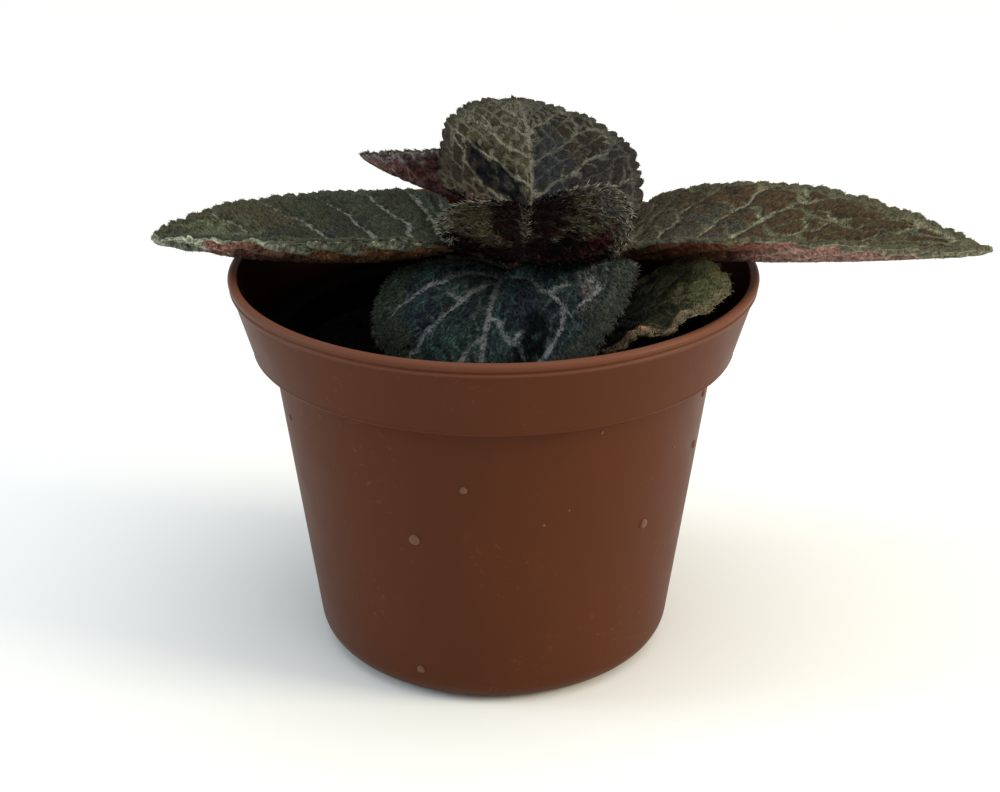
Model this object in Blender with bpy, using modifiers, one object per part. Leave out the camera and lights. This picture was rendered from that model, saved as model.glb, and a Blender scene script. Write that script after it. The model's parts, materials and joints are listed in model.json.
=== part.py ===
"""Potted flame violet: a hairy, patterned-leaf house plant in a round nursery pot.

Metres, +Z up. The origin is the centre of the pot's base, on the surface it stands on.
The plant's leaves stand in opposite pairs on one short stem: the pairs point in turn
along X and along Y, and the smallest pair is at the top.
"""

import math
from dataclasses import dataclass

import bmesh
import bpy
import numpy as np
from mathutils import Vector, noise

MM = 0.001

# Pot: driving dimensions
RIM_RADIUS = 45.0 * MM
POT_HEIGHT = 68.5 * MM
WALL = 1.2 * MM
LIP_WIDTH = 1.6 * MM
LIP_HEIGHT = 1.5 * MM
LIP_ROUNDING = 0.7 * MM
BEAD_HEIGHT = 0.9 * MM
BEAD_DEPTH = 0.25 * MM
COLLAR_TOP_RADIUS = 44.4 * MM
COLLAR_BOTTOM_RADIUS = 41.2 * MM
COLLAR_BOTTOM_HEIGHT = 54.9 * MM
COLLAR_ROUNDING = 0.5 * MM
BODY_TOP_RADIUS = 38.0 * MM
BODY_TOP_HEIGHT = 54.4 * MM
BODY_BASE_RADIUS = 30.6 * MM
FOOT_ROUNDING = 4.6 * MM
FOOT_RING_WIDTH = 2.2 * MM
BASE_RECESS = 1.2 * MM
BASE_DRAFT = 0.6 * MM
CENTRE_PAD_RADIUS = 7.0 * MM
FLOOR_TOP = 2.4 * MM
FLOOR_ROUNDING = 4.0 * MM
DRAIN_HOLES = 6
DRAIN_HOLE_RADIUS = 2.4 * MM
DRAIN_HOLE_CIRCLE = 15.5 * MM
POT_STEPS = 56

# Soil
GAP = 0.3 * MM
SOIL_EDGE_HEIGHT = 50.6 * MM
SOIL_CENTRE_HEIGHT = 54.2 * MM
SOIL_RELIEF = 1.3 * MM
SOIL_CRUMB = 4.5 * MM
SOIL_CALM_EDGE = 4.0 * MM
SOIL_RINGS = 9
SOIL_STEPS = 44

# Stem
STEM_X = 5.6 * MM
STEM_Y = 2.0 * MM
STEM_RADIUS = 2.3 * MM
STEM_FOOT_HEIGHT = 42.0 * MM
STEM_NECK_RADIUS = 1.5 * MM
STEM_WAIST = 0.93
STEM_STEPS = 16
NODE_HEIGHTS = (58.8 * MM, 62.4 * MM, 66.0 * MM, 70.2 * MM)
BUD_RADIUS = 0.75 * MM
BUD_TIP_HEIGHT = 75.8 * MM

# Leaf blades and stalks
BLADE_THICKNESS = 0.85 * MM
BLADE_STATIONS = 20
BLADE_COLUMNS = 10
VEIN_PAIRS = 5
VEIN_LEAN = 0.55
LOBE_END = 0.4
QUILTING = 0.45 * MM
TOOTH_DEPTH = 0.45 * MM
TOOTH_PERIOD = 2
STALK_RADIUS = 1.05 * MM
STALK_RUNOUT = 0.6 * MM
MIDRIB_RADIUS = 0.95 * MM
MIDRIB_END_RADIUS = 0.4 * MM
MIDRIB_DEPTH = 0.12 * MM
MIDRIB_REACH = 0.6
MIDRIB_STEPS = 7


@dataclass
class Leaf:
    """One leaf. Lengths are in millimetres, angles in degrees.

    heading is the way the blade points, 0 along +X and 90 along +Y. Each pair of numbers
    goes from the blade's base to its tip. A fold lifts one half of the blade from the
    midrib, and a curl bends that half further towards its margin. Left and right are
    seen from the stalk, looking towards the tip. node counts the stem's rings from the
    lowest, and the stalk leaves that ring straight out and passes the points in bends.
    """

    name: str
    color: tuple
    length: float
    half_width: float
    base: tuple
    heading: float
    pitch: tuple
    node: int
    bends: tuple
    roll: tuple = (0, 0)
    sweep: float = 0
    fold_left: tuple = (0, 0)
    fold_right: tuple = (0, 0)
    curl_left: tuple = (0, 0)
    curl_right: tuple = (0, 0)
    share_left: float = 1
    share_right: float = 1
    lobe: float = 3
    base_fullness: float = 0.42
    tip_fullness: float = 0.65


LEAVES = (
    Leaf(
        name="leaf_back_upright", color=(0.16, 0.15, 0.10),
        length=30.2, half_width=18.6, base=(6.5, 4.0, 76.3), heading=86, sweep=17.5,
        pitch=(40, 10.7), roll=(3.3, 4.9), fold_left=(13.5, 14), fold_right=(7.4, 3.2),
        curl_left=(26, 10), share_left=0.95, lobe=4.4, base_fullness=0.33, tip_fullness=0.74,
        node=3, bends=((6.1, 4.7, 71.6), (6.5, 4.5, 74.0)),
    ),
    Leaf(
        name="leaf_front_young", color=(0.15, 0.10, 0.08),
        length=23, half_width=18.2, base=(5.7, 0.0, 78.0), heading=-92,
        pitch=(2.5, -7), roll=(5, 1.2), fold_left=(27.5, -3), fold_right=(25.6, 4),
        curl_left=(-30, -44), curl_right=(-49, -7), share_left=0.95, share_right=0.79,
        node=3, bends=((5.6, -0.7, 71.6), (5.6, -0.5, 75.0)),
    ),
    Leaf(
        name="leaf_left", color=(0.11, 0.14, 0.09),
        length=52.7, half_width=20.2, base=(-6.0, -1.5, 71.9), heading=176,
        pitch=(-12, 13.5), roll=(6.5, 4), fold_left=(22, 29), fold_right=(22.5, 24),
        share_left=0.8,
        node=2, bends=((-0.5, 0.6, 68.4),),
    ),
    Leaf(
        name="leaf_right", color=(0.14, 0.14, 0.09),
        length=61.5, half_width=21.6, base=(22.5, -3.5, 71.7), heading=0.6,
        pitch=(-4.3, 4.8), roll=(-7.6, -2.2), fold_left=(18.7, 33), fold_right=(22, 24),
        share_right=0.81, base_fullness=0.53, tip_fullness=0.98,
        node=2, bends=((13.5, 0.0, 68.6), (18.5, -2.4, 70.2)),
    ),
    Leaf(
        name="leaf_back_left", color=(0.20, 0.12, 0.10),
        length=28.6, half_width=12, base=(2.0, 24.0, 71.6), heading=163,
        pitch=(0.8, 27.3), roll=(34.6, 14.3), fold_left=(30, 30), fold_right=(10, 20),
        base_fullness=0.46, tip_fullness=0.85,
        node=1, bends=((2.6, 10.0, 66.4), (4.0, 18.0, 70.0), (4.6, 22.4, 71.0)),
    ),
    Leaf(
        name="leaf_lower_right", color=(0.24, 0.24, 0.13),
        length=24.2, half_width=14.7, base=(16.5, -17.0, 61.9), heading=-6,
        pitch=(38.4, 10.5), roll=(1.5, 4.5), fold_left=(1.7, 11.6), fold_right=(0.5, 3.4),
        curl_right=(10, 10), share_left=0.75, share_right=1.03, lobe=4, tip_fullness=0.5,
        node=1, bends=((11.8, -5.5, 62.0), (14.0, -12.5, 60.6)),
    ),
    Leaf(
        name="leaf_front_low", color=(0.07, 0.11, 0.10),
        length=31, half_width=23.2, base=(2.2, -9.0, 69.8), heading=-102.8,
        pitch=(13.3, -95), roll=(0.8, 15), fold_left=(23.4, 0), fold_right=(21.7, 0),
        curl_left=(-34, 19), curl_right=(-62, -27), lobe=6.9,
        base_fullness=0.5, tip_fullness=0.8,
        node=0, bends=((4.8, -3.6, 63.0), (3.6, -6.6, 67.2)),
    ),
    Leaf(
        name="leaf_back_low", color=(0.07, 0.11, 0.09),
        length=29, half_width=15, base=(6.0, 11.0, 61.5), heading=88, pitch=(12, -14),
        fold_left=(8, 8), fold_right=(8, 8), curl_left=(-10, 0), curl_right=(-10, 0),
        base_fullness=0.45, tip_fullness=0.7,
        node=0, bends=((5.8, 8.0, 60.4),),
    ),
)


# Helpers

def clear_scene():
    for obj in list(bpy.data.objects):
        bpy.data.objects.remove(obj)


def new_collection(name, hidden=False):
    collection = bpy.data.collections.new(name)
    bpy.context.scene.collection.children.link(collection)
    collection.hide_render = hidden
    return collection


def add_object(name, mesh, collection):
    obj = bpy.data.objects.new(name, mesh)
    collection.objects.link(obj)
    return obj


def mark_as_guide(obj):
    obj.hide_render = True
    obj.display_type = "WIRE"


def make_material(name, color, roughness):
    material = bpy.data.materials.new(name)
    material.use_nodes = True
    shader = material.node_tree.nodes["Principled BSDF"]
    shader.inputs["Base Color"].default_value = (*color, 1)
    shader.inputs["Roughness"].default_value = roughness
    shader.inputs["Metallic"].default_value = 0
    return material


def mesh_from_bmesh(bm, name):
    mesh = bpy.data.meshes.new(name)
    bm.to_mesh(mesh)
    bm.free()
    return mesh


def profile_mesh(name, points):
    """A chain of edges through (radius, height) points in the XZ plane."""
    bm = bmesh.new()
    verts = [bm.verts.new((radius, 0, height)) for radius, height in points]
    for start, end in zip(verts, verts[1:]):
        bm.edges.new((start, end))
    return mesh_from_bmesh(bm, name)


def turn_profile(obj, steps):
    screw = obj.modifiers.new("Turn", "SCREW")
    screw.steps = steps
    screw.render_steps = steps
    screw.use_merge_vertices = True
    screw.merge_threshold = 0.00001
    screw.use_smooth_shade = True


def add_cylinder(name, radius, low, high, collection, vertices=32):
    bm = bmesh.new()
    bmesh.ops.create_cone(
        bm, cap_ends=True, segments=vertices, radius1=radius, radius2=radius, depth=high - low
    )
    bmesh.ops.translate(bm, verts=bm.verts, vec=(0, 0, (high + low) / 2))
    return add_object(name, mesh_from_bmesh(bm, name), collection)


def arc(centre, radius, start, end, steps):
    """(radius, height) points along an arc; angles in degrees from the outward direction."""
    points = []
    for step in range(steps + 1):
        angle = math.radians(start + (end - start) * step / steps)
        points.append((centre[0] + radius * math.cos(angle), centre[1] + radius * math.sin(angle)))
    return points


# Pot

BODY_TAPER = math.atan2(BODY_TOP_RADIUS - BODY_BASE_RADIUS, BODY_TOP_HEIGHT)


def body_radius(height):
    """Outer radius of the tapered body."""
    return BODY_BASE_RADIUS + height * math.tan(BODY_TAPER)


def inner_radius(height):
    """Inner radius of the body, below the step under the collar."""
    return body_radius(height) - WALL / math.cos(BODY_TAPER)


def fill_radius(height):
    """Largest radius that clears the flats of the pot's inner wall by the gap."""
    return inner_radius(height) * math.cos(math.pi / POT_STEPS) - GAP


def pot_outside():
    """Outer profile, from the lip down to the middle of the base."""
    lip_base = POT_HEIGHT - LIP_HEIGHT
    lip = arc((RIM_RADIUS - LIP_ROUNDING, POT_HEIGHT - LIP_ROUNDING), LIP_ROUNDING, 90, 0, 2)
    bead = [
        (COLLAR_TOP_RADIUS + BEAD_DEPTH / 2, lip_base),
        (COLLAR_TOP_RADIUS + BEAD_DEPTH, lip_base - BEAD_HEIGHT / 2),
        (COLLAR_TOP_RADIUS, lip_base - BEAD_HEIGHT),
    ]
    collar = [
        (COLLAR_BOTTOM_RADIUS, COLLAR_BOTTOM_HEIGHT + COLLAR_ROUNDING),
        (COLLAR_BOTTOM_RADIUS - COLLAR_ROUNDING, COLLAR_BOTTOM_HEIGHT),
        (BODY_TOP_RADIUS + COLLAR_ROUNDING / 2, BODY_TOP_HEIGHT + COLLAR_ROUNDING / 2),
        (body_radius(BODY_TOP_HEIGHT - COLLAR_ROUNDING), BODY_TOP_HEIGHT - COLLAR_ROUNDING),
    ]
    taper = math.degrees(BODY_TAPER)
    arc_radius = body_radius(FOOT_ROUNDING) - FOOT_ROUNDING / math.cos(BODY_TAPER)
    foot = arc((arc_radius, FOOT_ROUNDING), FOOT_ROUNDING, -taper, -90, 4)
    ring_inner = arc_radius - FOOT_RING_WIDTH
    base = [
        (ring_inner, 0),
        (ring_inner - BASE_DRAFT, BASE_RECESS),
        (CENTRE_PAD_RADIUS + BASE_DRAFT, BASE_RECESS),
        (CENTRE_PAD_RADIUS, 0),
        (0, 0),
    ]
    return lip + bead + collar + foot + base


def pot_inside():
    """Inner profile, from the middle of the floor up to the lip."""
    lip_inner = RIM_RADIUS - LIP_WIDTH
    corner_top = FLOOR_TOP + FLOOR_ROUNDING
    corner_radius = inner_radius(corner_top) - FLOOR_ROUNDING
    corner = arc((corner_radius, corner_top), FLOOR_ROUNDING, -90, 0, 3)
    return [(0, FLOOR_TOP)] + corner + [
        (inner_radius(BODY_TOP_HEIGHT + WALL), BODY_TOP_HEIGHT + WALL),
        (COLLAR_BOTTOM_RADIUS - WALL, COLLAR_BOTTOM_HEIGHT + WALL),
        (COLLAR_TOP_RADIUS - WALL, POT_HEIGHT - LIP_HEIGHT - BEAD_HEIGHT),
        (lip_inner, POT_HEIGHT - LIP_ROUNDING / 2),
        (lip_inner + LIP_ROUNDING / 2, POT_HEIGHT),
    ]


def make_pot(collection, guides):
    pot = add_object("pot", profile_mesh("pot", pot_inside() + pot_outside()), collection)
    turn_profile(pot, POT_STEPS)
    for index in range(DRAIN_HOLES):
        angle = 2 * math.pi * (index + 0.5) / DRAIN_HOLES
        cutter = add_cylinder(
            f"drain_cutter_{index + 1}", DRAIN_HOLE_RADIUS, -MM, FLOOR_TOP + MM, guides, 12
        )
        cutter.location = (
            DRAIN_HOLE_CIRCLE * math.cos(angle), DRAIN_HOLE_CIRCLE * math.sin(angle), 0
        )
        mark_as_guide(cutter)
        hole = pot.modifiers.new(f"Drain hole {index + 1}", "BOOLEAN")
        hole.operation = "DIFFERENCE"
        hole.object = cutter
    pot.data.materials.append(make_material("pot_plastic", (0.22, 0.09, 0.045), 0.42))


# Soil

def soil_height(radius):
    """Mean height of the soil, a low mound round the stem."""
    share = radius / inner_radius(SOIL_EDGE_HEIGHT)
    return SOIL_EDGE_HEIGHT + (SOIL_CENTRE_HEIGHT - SOIL_EDGE_HEIGHT) * (1 - share * share)


def make_soil(collection, guides):
    edge = fill_radius(SOIL_EDGE_HEIGHT)
    floor = FLOOR_TOP + GAP
    foot = FLOOR_TOP + FLOOR_ROUNDING
    rings = [edge * ring / SOIL_RINGS for ring in range(SOIL_RINGS + 1)]
    points = [(radius, soil_height(radius)) for radius in rings]
    points += [(fill_radius(foot), foot), (fill_radius(foot) - FLOOR_ROUNDING, floor), (0, floor)]

    bm = bmesh.new()
    verts = [bm.verts.new((radius, 0, height)) for radius, height in points]
    edges = [bm.edges.new(pair) for pair in zip(verts, verts[1:])]
    bmesh.ops.spin(
        bm, geom=verts + edges, cent=(0, 0, 0), axis=(0, 0, 1),
        angle=2 * math.pi, steps=SOIL_STEPS, use_merge=True,
    )
    bmesh.ops.remove_doubles(bm, verts=bm.verts, dist=0.01 * MM)
    for vert in bm.verts:
        radius = math.hypot(vert.co.x, vert.co.y)
        if vert.co.z > foot:
            crumb = noise.noise(Vector((vert.co.x, vert.co.y, 0)) / SOIL_CRUMB)
            vert.co.z += SOIL_RELIEF * crumb * min(1, (edge - radius) / SOIL_CALM_EDGE)
    bmesh.ops.recalc_face_normals(bm, faces=bm.faces)
    soil = add_object("soil", mesh_from_bmesh(bm, "soil"), collection)

    cutter = add_cylinder(
        "stem_hole_cutter", STEM_RADIUS + GAP, STEM_FOOT_HEIGHT - GAP, POT_HEIGHT, guides, 24
    )
    cutter.location = (STEM_X, STEM_Y, 0)
    mark_as_guide(cutter)
    hole = soil.modifiers.new("Stem hole", "BOOLEAN")
    hole.operation = "DIFFERENCE"
    hole.object = cutter
    soil.data.materials.append(make_material("soil", (0.018, 0.014, 0.011), 0.95))


# Stem

def make_stem(collection):
    """A short upright stem with a low ring where each pair of leaves stands, and a bud."""
    waist = STEM_RADIUS * STEM_WAIST
    profile = [
        (0, BUD_TIP_HEIGHT),
        (BUD_RADIUS * 0.6, BUD_TIP_HEIGHT - 0.6 * MM),
        (BUD_RADIUS, BUD_TIP_HEIGHT - 1.8 * MM),
        (BUD_RADIUS * 0.9, NODE_HEIGHTS[3] + 1.6 * MM),
        (STEM_NECK_RADIUS, NODE_HEIGHTS[3] + 0.4 * MM),
        (STEM_NECK_RADIUS, NODE_HEIGHTS[3] - 1.2 * MM),
        (STEM_RADIUS, NODE_HEIGHTS[2] + 0.5 * MM),
        (waist, (NODE_HEIGHTS[2] + NODE_HEIGHTS[1]) / 2),
        (STEM_RADIUS, NODE_HEIGHTS[1]),
        (waist, (NODE_HEIGHTS[1] + NODE_HEIGHTS[0]) / 2),
        (STEM_RADIUS, NODE_HEIGHTS[0]),
        (waist, NODE_HEIGHTS[0] - 2.5 * MM),
        (STEM_RADIUS, STEM_FOOT_HEIGHT + 0.6 * MM),
        (STEM_RADIUS - 0.6 * MM, STEM_FOOT_HEIGHT),
        (0, STEM_FOOT_HEIGHT),
    ]
    stem = add_object("stem", profile_mesh("stem", profile), collection)
    stem.location = (STEM_X, STEM_Y, 0)
    turn_profile(stem, STEM_STEPS)
    stem.data.materials.append(make_material("stem", (0.20, 0.10, 0.07), 0.7))


# Leaves

class Midrib:
    """The midrib's curve in metres: its points and the blade's frame along it."""

    SAMPLES = 240

    def __init__(self, leaf):
        self.length = leaf.length * MM
        back = -(leaf.lobe + 3) * MM
        self.along = np.linspace(back, self.length, self.SAMPLES)
        part = np.clip(self.along / self.length, 0, 1)
        pitch = np.radians(blend(leaf.pitch, part))
        heading = np.radians(leaf.heading + leaf.sweep * part)
        roll = np.radians(blend(leaf.roll, part))[:, None]
        flat = np.cos(pitch)
        forward = np.stack([flat * np.cos(heading), flat * np.sin(heading), np.sin(pitch)], -1)
        level = np.stack([-np.sin(heading), np.cos(heading), np.zeros(self.SAMPLES)], -1)
        upright = np.cross(forward, level)
        self.side = level * np.cos(roll) + upright * np.sin(roll)
        self.up = upright * np.cos(roll) - level * np.sin(roll)
        step = self.along[1] - self.along[0]
        path = np.zeros((self.SAMPLES, 3))
        path[1:] = np.cumsum((forward[1:] + forward[:-1]) / 2 * step, axis=0)
        self.path = path + np.array(leaf.base) * MM - sample(self.along, path, 0)

    def frame(self, along):
        point = sample(self.along, self.path, along)
        side = sample(self.along, self.side, along)
        up = sample(self.along, self.up, along)
        return Vector(point), Vector(side), Vector(up)


def blend(pair, part):
    return pair[0] + (pair[1] - pair[0]) * part


def sample(positions, rows, position):
    return np.array([np.interp(position, positions, rows[:, axis]) for axis in range(3)])


def margin(leaf, station, share):
    """Margin point (along, across) in metres: heart-shaped base, widest before the middle."""
    low = leaf.base_fullness
    high = leaf.tip_fullness
    peak = low / (low + high)
    top = peak**low * (1 - peak) ** high
    across = leaf.half_width * share * station**low * (1 - station) ** high / top
    back = math.sin(math.pi * station / LOBE_END) if station < LOBE_END else 0
    along = leaf.length * station - leaf.lobe * back
    return along * MM, across * MM


def vein_foot(along, across):
    """Where the side vein that reaches a margin point leaves the midrib."""
    return max(0, along - VEIN_LEAN * across)


def blade_point(leaf, midrib, station, column):
    """Place of a blade point; station runs base to tip, column from -1 (right) to 1 (left)."""
    left = column >= 0
    share = leaf.share_left if left else leaf.share_right
    fold = leaf.fold_left if left else leaf.fold_right
    curl = leaf.curl_left if left else leaf.curl_right
    edge_along, edge_across = margin(leaf, station, share)
    foot = vein_foot(edge_along, edge_across)
    out = abs(column)
    along = foot + (edge_along - foot) * out
    across = edge_across * out

    part = min(max(along / midrib.length, 0), 1)
    angle = math.radians(blend(fold, part))
    bend = math.radians(blend(curl, part)) / (leaf.half_width * MM)
    if abs(bend) < 1e-6:
        level = across * math.cos(angle)
        rise = across * math.sin(angle)
    else:
        level = (math.sin(angle + bend * across) - math.sin(angle)) / bend
        rise = (math.cos(angle) - math.cos(angle + bend * across)) / bend
    point, side, up = midrib.frame(along)
    return point + side * (level if left else -level) + up * rise


def make_blade(leaf, midrib):
    """Open blade surface with a toothed margin and quilting between the side veins."""
    bm = bmesh.new()
    bmesh.ops.create_grid(bm, x_segments=BLADE_STATIONS, y_segments=BLADE_COLUMNS, size=1)
    bm.verts.ensure_lookup_table()
    place = {}
    for vert in bm.verts:
        row = (vert.co.x + 1) / 2
        station = (row + (1 - math.cos(math.pi * row)) / 2) / 2
        place[vert] = (row, station, vert.co.y)
    for vert, (row, station, column) in place.items():
        vert.co = blade_point(leaf, midrib, station, column)
    bm.normal_update()
    offsets = {}
    for vert, (row, station, column) in place.items():
        inside = math.sin(math.pi * min(1, abs(column))) ** 0.6
        puff = abs(math.sin(math.pi * VEIN_PAIRS * row)) ** 0.8
        offsets[vert] = vert.normal * QUILTING * inside * puff
        if abs(column) > 0.999 and 0 < row < 1:
            inner = blade_point(leaf, midrib, station, column * 0.9)
            outward = (vert.co - inner).normalized()
            tooth = 0.5 if round(row * BLADE_STATIONS) % TOOTH_PERIOD else -0.5
            offsets[vert] += outward * TOOTH_DEPTH * tooth
    for vert, offset in offsets.items():
        vert.co += offset
    bmesh.ops.remove_doubles(bm, verts=bm.verts, dist=0.02 * MM)
    bmesh.ops.triangulate(bm, faces=bm.faces, quad_method="FIXED")
    if sum(face.normal.dot(midrib.frame(midrib.length / 2)[2]) for face in bm.faces) < 0:
        bmesh.ops.reverse_faces(bm, faces=bm.faces)
    return mesh_from_bmesh(bm, leaf.name)


def smooth_route(points, steps):
    """A straight first run, then a Catmull-Rom curve through the other points."""
    ends = points + [points[-1] * 2 - points[-2]]
    route = [points[0]]
    for before, start, end, after in zip(ends, ends[1:], ends[2:], ends[3:]):
        for step in range(steps):
            t = step / steps
            route.append(0.5 * (
                start * 2 + (end - before) * t
                + (before * 2 - start * 5 + end * 4 - after) * t * t
                + (start * 3 - before - end * 3 + after) * t * t * t
            ))
    return route + [points[-1]]


def make_stalk(leaf, midrib, guides):
    """The stalk and the raised midrib under the blade, as one tapering tube."""
    bends = [Vector(point) * MM for point in leaf.bends]
    height = NODE_HEIGHTS[leaf.node]
    stem_radius = STEM_NECK_RADIUS if leaf.node == len(NODE_HEIGHTS) - 1 else STEM_RADIUS
    axis = Vector((STEM_X, STEM_Y, height))
    outward = (bends[0] - axis) * Vector((1, 1, 0))
    outward.normalize()
    start = axis + outward * (stem_radius + GAP)
    points = [start, start + outward * STALK_RUNOUT] + bends
    radii = [STALK_RADIUS] * len(points)
    for step in range(MIDRIB_STEPS):
        share = step / (MIDRIB_STEPS - 1)
        radius = blend((MIDRIB_RADIUS, MIDRIB_END_RADIUS), share**0.6)
        point, side, up = midrib.frame(MIDRIB_REACH * midrib.length * share)
        points.append(point - up * (radius + MIDRIB_DEPTH))
        radii.append(radius)
    route = smooth_route(points, 2)

    curve = bpy.data.curves.new(leaf.name + "_stalk", "CURVE")
    curve.dimensions = "3D"
    curve.bevel_depth = 1
    curve.bevel_resolution = 2
    curve.use_fill_caps = True
    spline = curve.splines.new("POLY")
    spline.points.add(len(route) - 1)
    for index, (target, point) in enumerate(zip(spline.points, route)):
        target.co = (*point, 1)
        target.radius = float(np.interp((index + 1) / 2, range(len(radii)), radii))
    tube = add_object(leaf.name + "_stalk_curve", curve, guides)
    bpy.context.view_layer.update()

    evaluated = tube.evaluated_get(bpy.context.evaluated_depsgraph_get())
    mesh = bpy.data.meshes.new_from_object(evaluated)
    bm = bmesh.new()
    bm.from_mesh(mesh)
    bmesh.ops.remove_doubles(bm, verts=bm.verts, dist=0.01 * MM)
    bmesh.ops.recalc_face_normals(bm, faces=bm.faces)
    bm.to_mesh(mesh)
    bm.free()
    stalk = add_object(leaf.name + "_stalk", mesh, guides)
    stalk.matrix_world = tube.matrix_world
    bpy.data.objects.remove(tube)
    mark_as_guide(stalk)
    return stalk


def make_leaf(leaf, collection, guides):
    midrib = Midrib(leaf)
    blade = add_object(leaf.name, make_blade(leaf, midrib), collection)
    thicken = blade.modifiers.new("Thickness", "SOLIDIFY")
    thicken.thickness = BLADE_THICKNESS
    thicken.offset = -1
    join = blade.modifiers.new("Stalk", "BOOLEAN")
    join.operation = "UNION"
    join.solver = "MANIFOLD"
    join.object = make_stalk(leaf, midrib, guides)
    blade.data.materials.append(make_material(leaf.name, leaf.color, 0.7))


def main():
    clear_scene()
    plant = new_collection("potted_flame_violet")
    guides = new_collection("guides", hidden=True)
    make_pot(plant, guides)
    make_soil(plant, guides)
    make_stem(plant)
    for leaf in LEAVES:
        make_leaf(leaf, plant, guides)


main()
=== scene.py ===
import json
import math

import bmesh
import bpy
import numpy as np
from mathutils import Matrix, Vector, noise

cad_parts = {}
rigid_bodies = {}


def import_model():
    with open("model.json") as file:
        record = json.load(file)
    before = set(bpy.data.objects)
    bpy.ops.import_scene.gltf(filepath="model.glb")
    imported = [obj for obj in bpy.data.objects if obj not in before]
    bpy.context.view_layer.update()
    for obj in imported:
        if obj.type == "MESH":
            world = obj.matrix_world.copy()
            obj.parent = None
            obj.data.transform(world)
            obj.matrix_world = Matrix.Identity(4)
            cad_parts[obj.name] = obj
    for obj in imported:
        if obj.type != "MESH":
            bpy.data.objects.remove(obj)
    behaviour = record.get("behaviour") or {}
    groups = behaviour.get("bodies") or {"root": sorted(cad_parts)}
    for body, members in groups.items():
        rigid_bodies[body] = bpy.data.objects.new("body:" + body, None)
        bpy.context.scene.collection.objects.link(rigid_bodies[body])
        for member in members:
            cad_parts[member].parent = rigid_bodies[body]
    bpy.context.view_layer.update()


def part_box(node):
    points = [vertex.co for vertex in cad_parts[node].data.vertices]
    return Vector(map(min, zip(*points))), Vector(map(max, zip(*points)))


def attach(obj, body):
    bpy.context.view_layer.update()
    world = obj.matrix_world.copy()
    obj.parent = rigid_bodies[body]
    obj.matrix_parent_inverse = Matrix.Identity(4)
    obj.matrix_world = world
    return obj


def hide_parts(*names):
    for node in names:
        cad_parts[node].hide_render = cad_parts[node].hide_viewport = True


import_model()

mm = 0.001


# Camera and lights

cameraSetup = {
    "aside": 1.1 * mm,
    "back": 320.97 * mm,
    "height": 183.56 * mm,
    "lookDown": 23.5,  # degrees below level
    "lens": 72.0,
    "sensor": 36.0,
    "clipStart": 0.01,
}

lightSetup = {
    "room": 0.55,  # strength of the pale surroundings
    "skylight": {"tilt": (12, 16), "spread": 70, "strength": 1.5, "tint": (1.0, 0.99, 0.97)},  # degrees
    "softboxes": {
        # name: (place, size in m, watts, tint)
        "rightSoftbox": ((0.85, -0.25, 0.40), 0.35, 6.5, (1.0, 0.92, 0.62)),
        "leftSoftbox": ((-0.85, -0.05, 0.35), 0.35, 3.2, (0.68, 0.93, 1.0)),
    },
    "aim": (0.0, 0.0, 0.05),
}


def placeCamera():
    camera = bpy.data.objects.new("camera", bpy.data.cameras.new("camera"))
    camera.data.lens = cameraSetup["lens"]
    camera.data.sensor_width = cameraSetup["sensor"]
    camera.data.clip_start = cameraSetup["clipStart"]
    camera.location = (cameraSetup["aside"], -cameraSetup["back"], cameraSetup["height"])
    camera.rotation_euler = (math.radians(90 - cameraSetup["lookDown"]), 0, 0)
    bpy.context.scene.collection.objects.link(camera)
    bpy.context.scene.camera = camera


def placeLights():
    sky = bpy.data.lights.new("skylight", "SUN")
    sky.energy = lightSetup["skylight"]["strength"]
    sky.angle = math.radians(lightSetup["skylight"]["spread"])
    sky.color = lightSetup["skylight"]["tint"]
    skylight = bpy.data.objects.new("skylight", sky)
    tiltX, tiltY = lightSetup["skylight"]["tilt"]
    skylight.rotation_euler = (math.radians(tiltX), math.radians(tiltY), 0)
    bpy.context.scene.collection.objects.link(skylight)
    aim = Vector(lightSetup["aim"])
    for name, (place, size, watts, tint) in lightSetup["softboxes"].items():
        lamp = bpy.data.lights.new(name, "AREA")
        lamp.shape = "SQUARE"
        lamp.size = size
        lamp.energy = watts
        lamp.color = tint
        softbox = bpy.data.objects.new(name, lamp)
        softbox.location = place
        softbox.rotation_euler = (aim - Vector(place)).to_track_quat("-Z", "Y").to_euler()
        bpy.context.scene.collection.objects.link(softbox)
    world = bpy.data.worlds.new("paleRoom")
    world.use_nodes = True
    backdrop = world.node_tree.nodes["Background"]
    backdrop.inputs["Color"].default_value = (1, 1, 1, 1)
    backdrop.inputs["Strength"].default_value = lightSetup["room"]
    bpy.context.scene.world = world
    bpy.context.scene.view_settings.view_transform = "Standard"


# Small tools for materials

def startMaterial(name, **sockets):
    material = bpy.data.materials.new(name)
    material.use_nodes = True
    shader = material.node_tree.nodes["Principled BSDF"]
    for key, value in sockets.items():
        shader.inputs[key].default_value = value
    return material, material.node_tree, shader


def addNode(tree, kind, inputs=None, **settings):
    node = tree.nodes.new(kind)
    for key, value in settings.items():
        setattr(node, key, value)
    for key, value in (inputs or {}).items():
        if isinstance(value, bpy.types.NodeSocket):
            tree.links.new(value, node.inputs[key])
        else:
            node.inputs[key].default_value = value
    return node


def readMask(tree, name):
    return addNode(tree, "ShaderNodeAttribute", attribute_name=name).outputs["Fac"]


def readPlace(tree, name):
    return addNode(tree, "ShaderNodeAttribute", attribute_name=name).outputs["Vector"]


def objectPlace(tree):
    return addNode(tree, "ShaderNodeTexCoord").outputs["Object"]


def grainAt(tree, place, scale, detail=3.0, roughness=0.55):
    inputs = {"Vector": place, "Scale": scale, "Detail": detail, "Roughness": roughness}
    return addNode(tree, "ShaderNodeTexNoise", inputs).outputs["Fac"]


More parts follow.
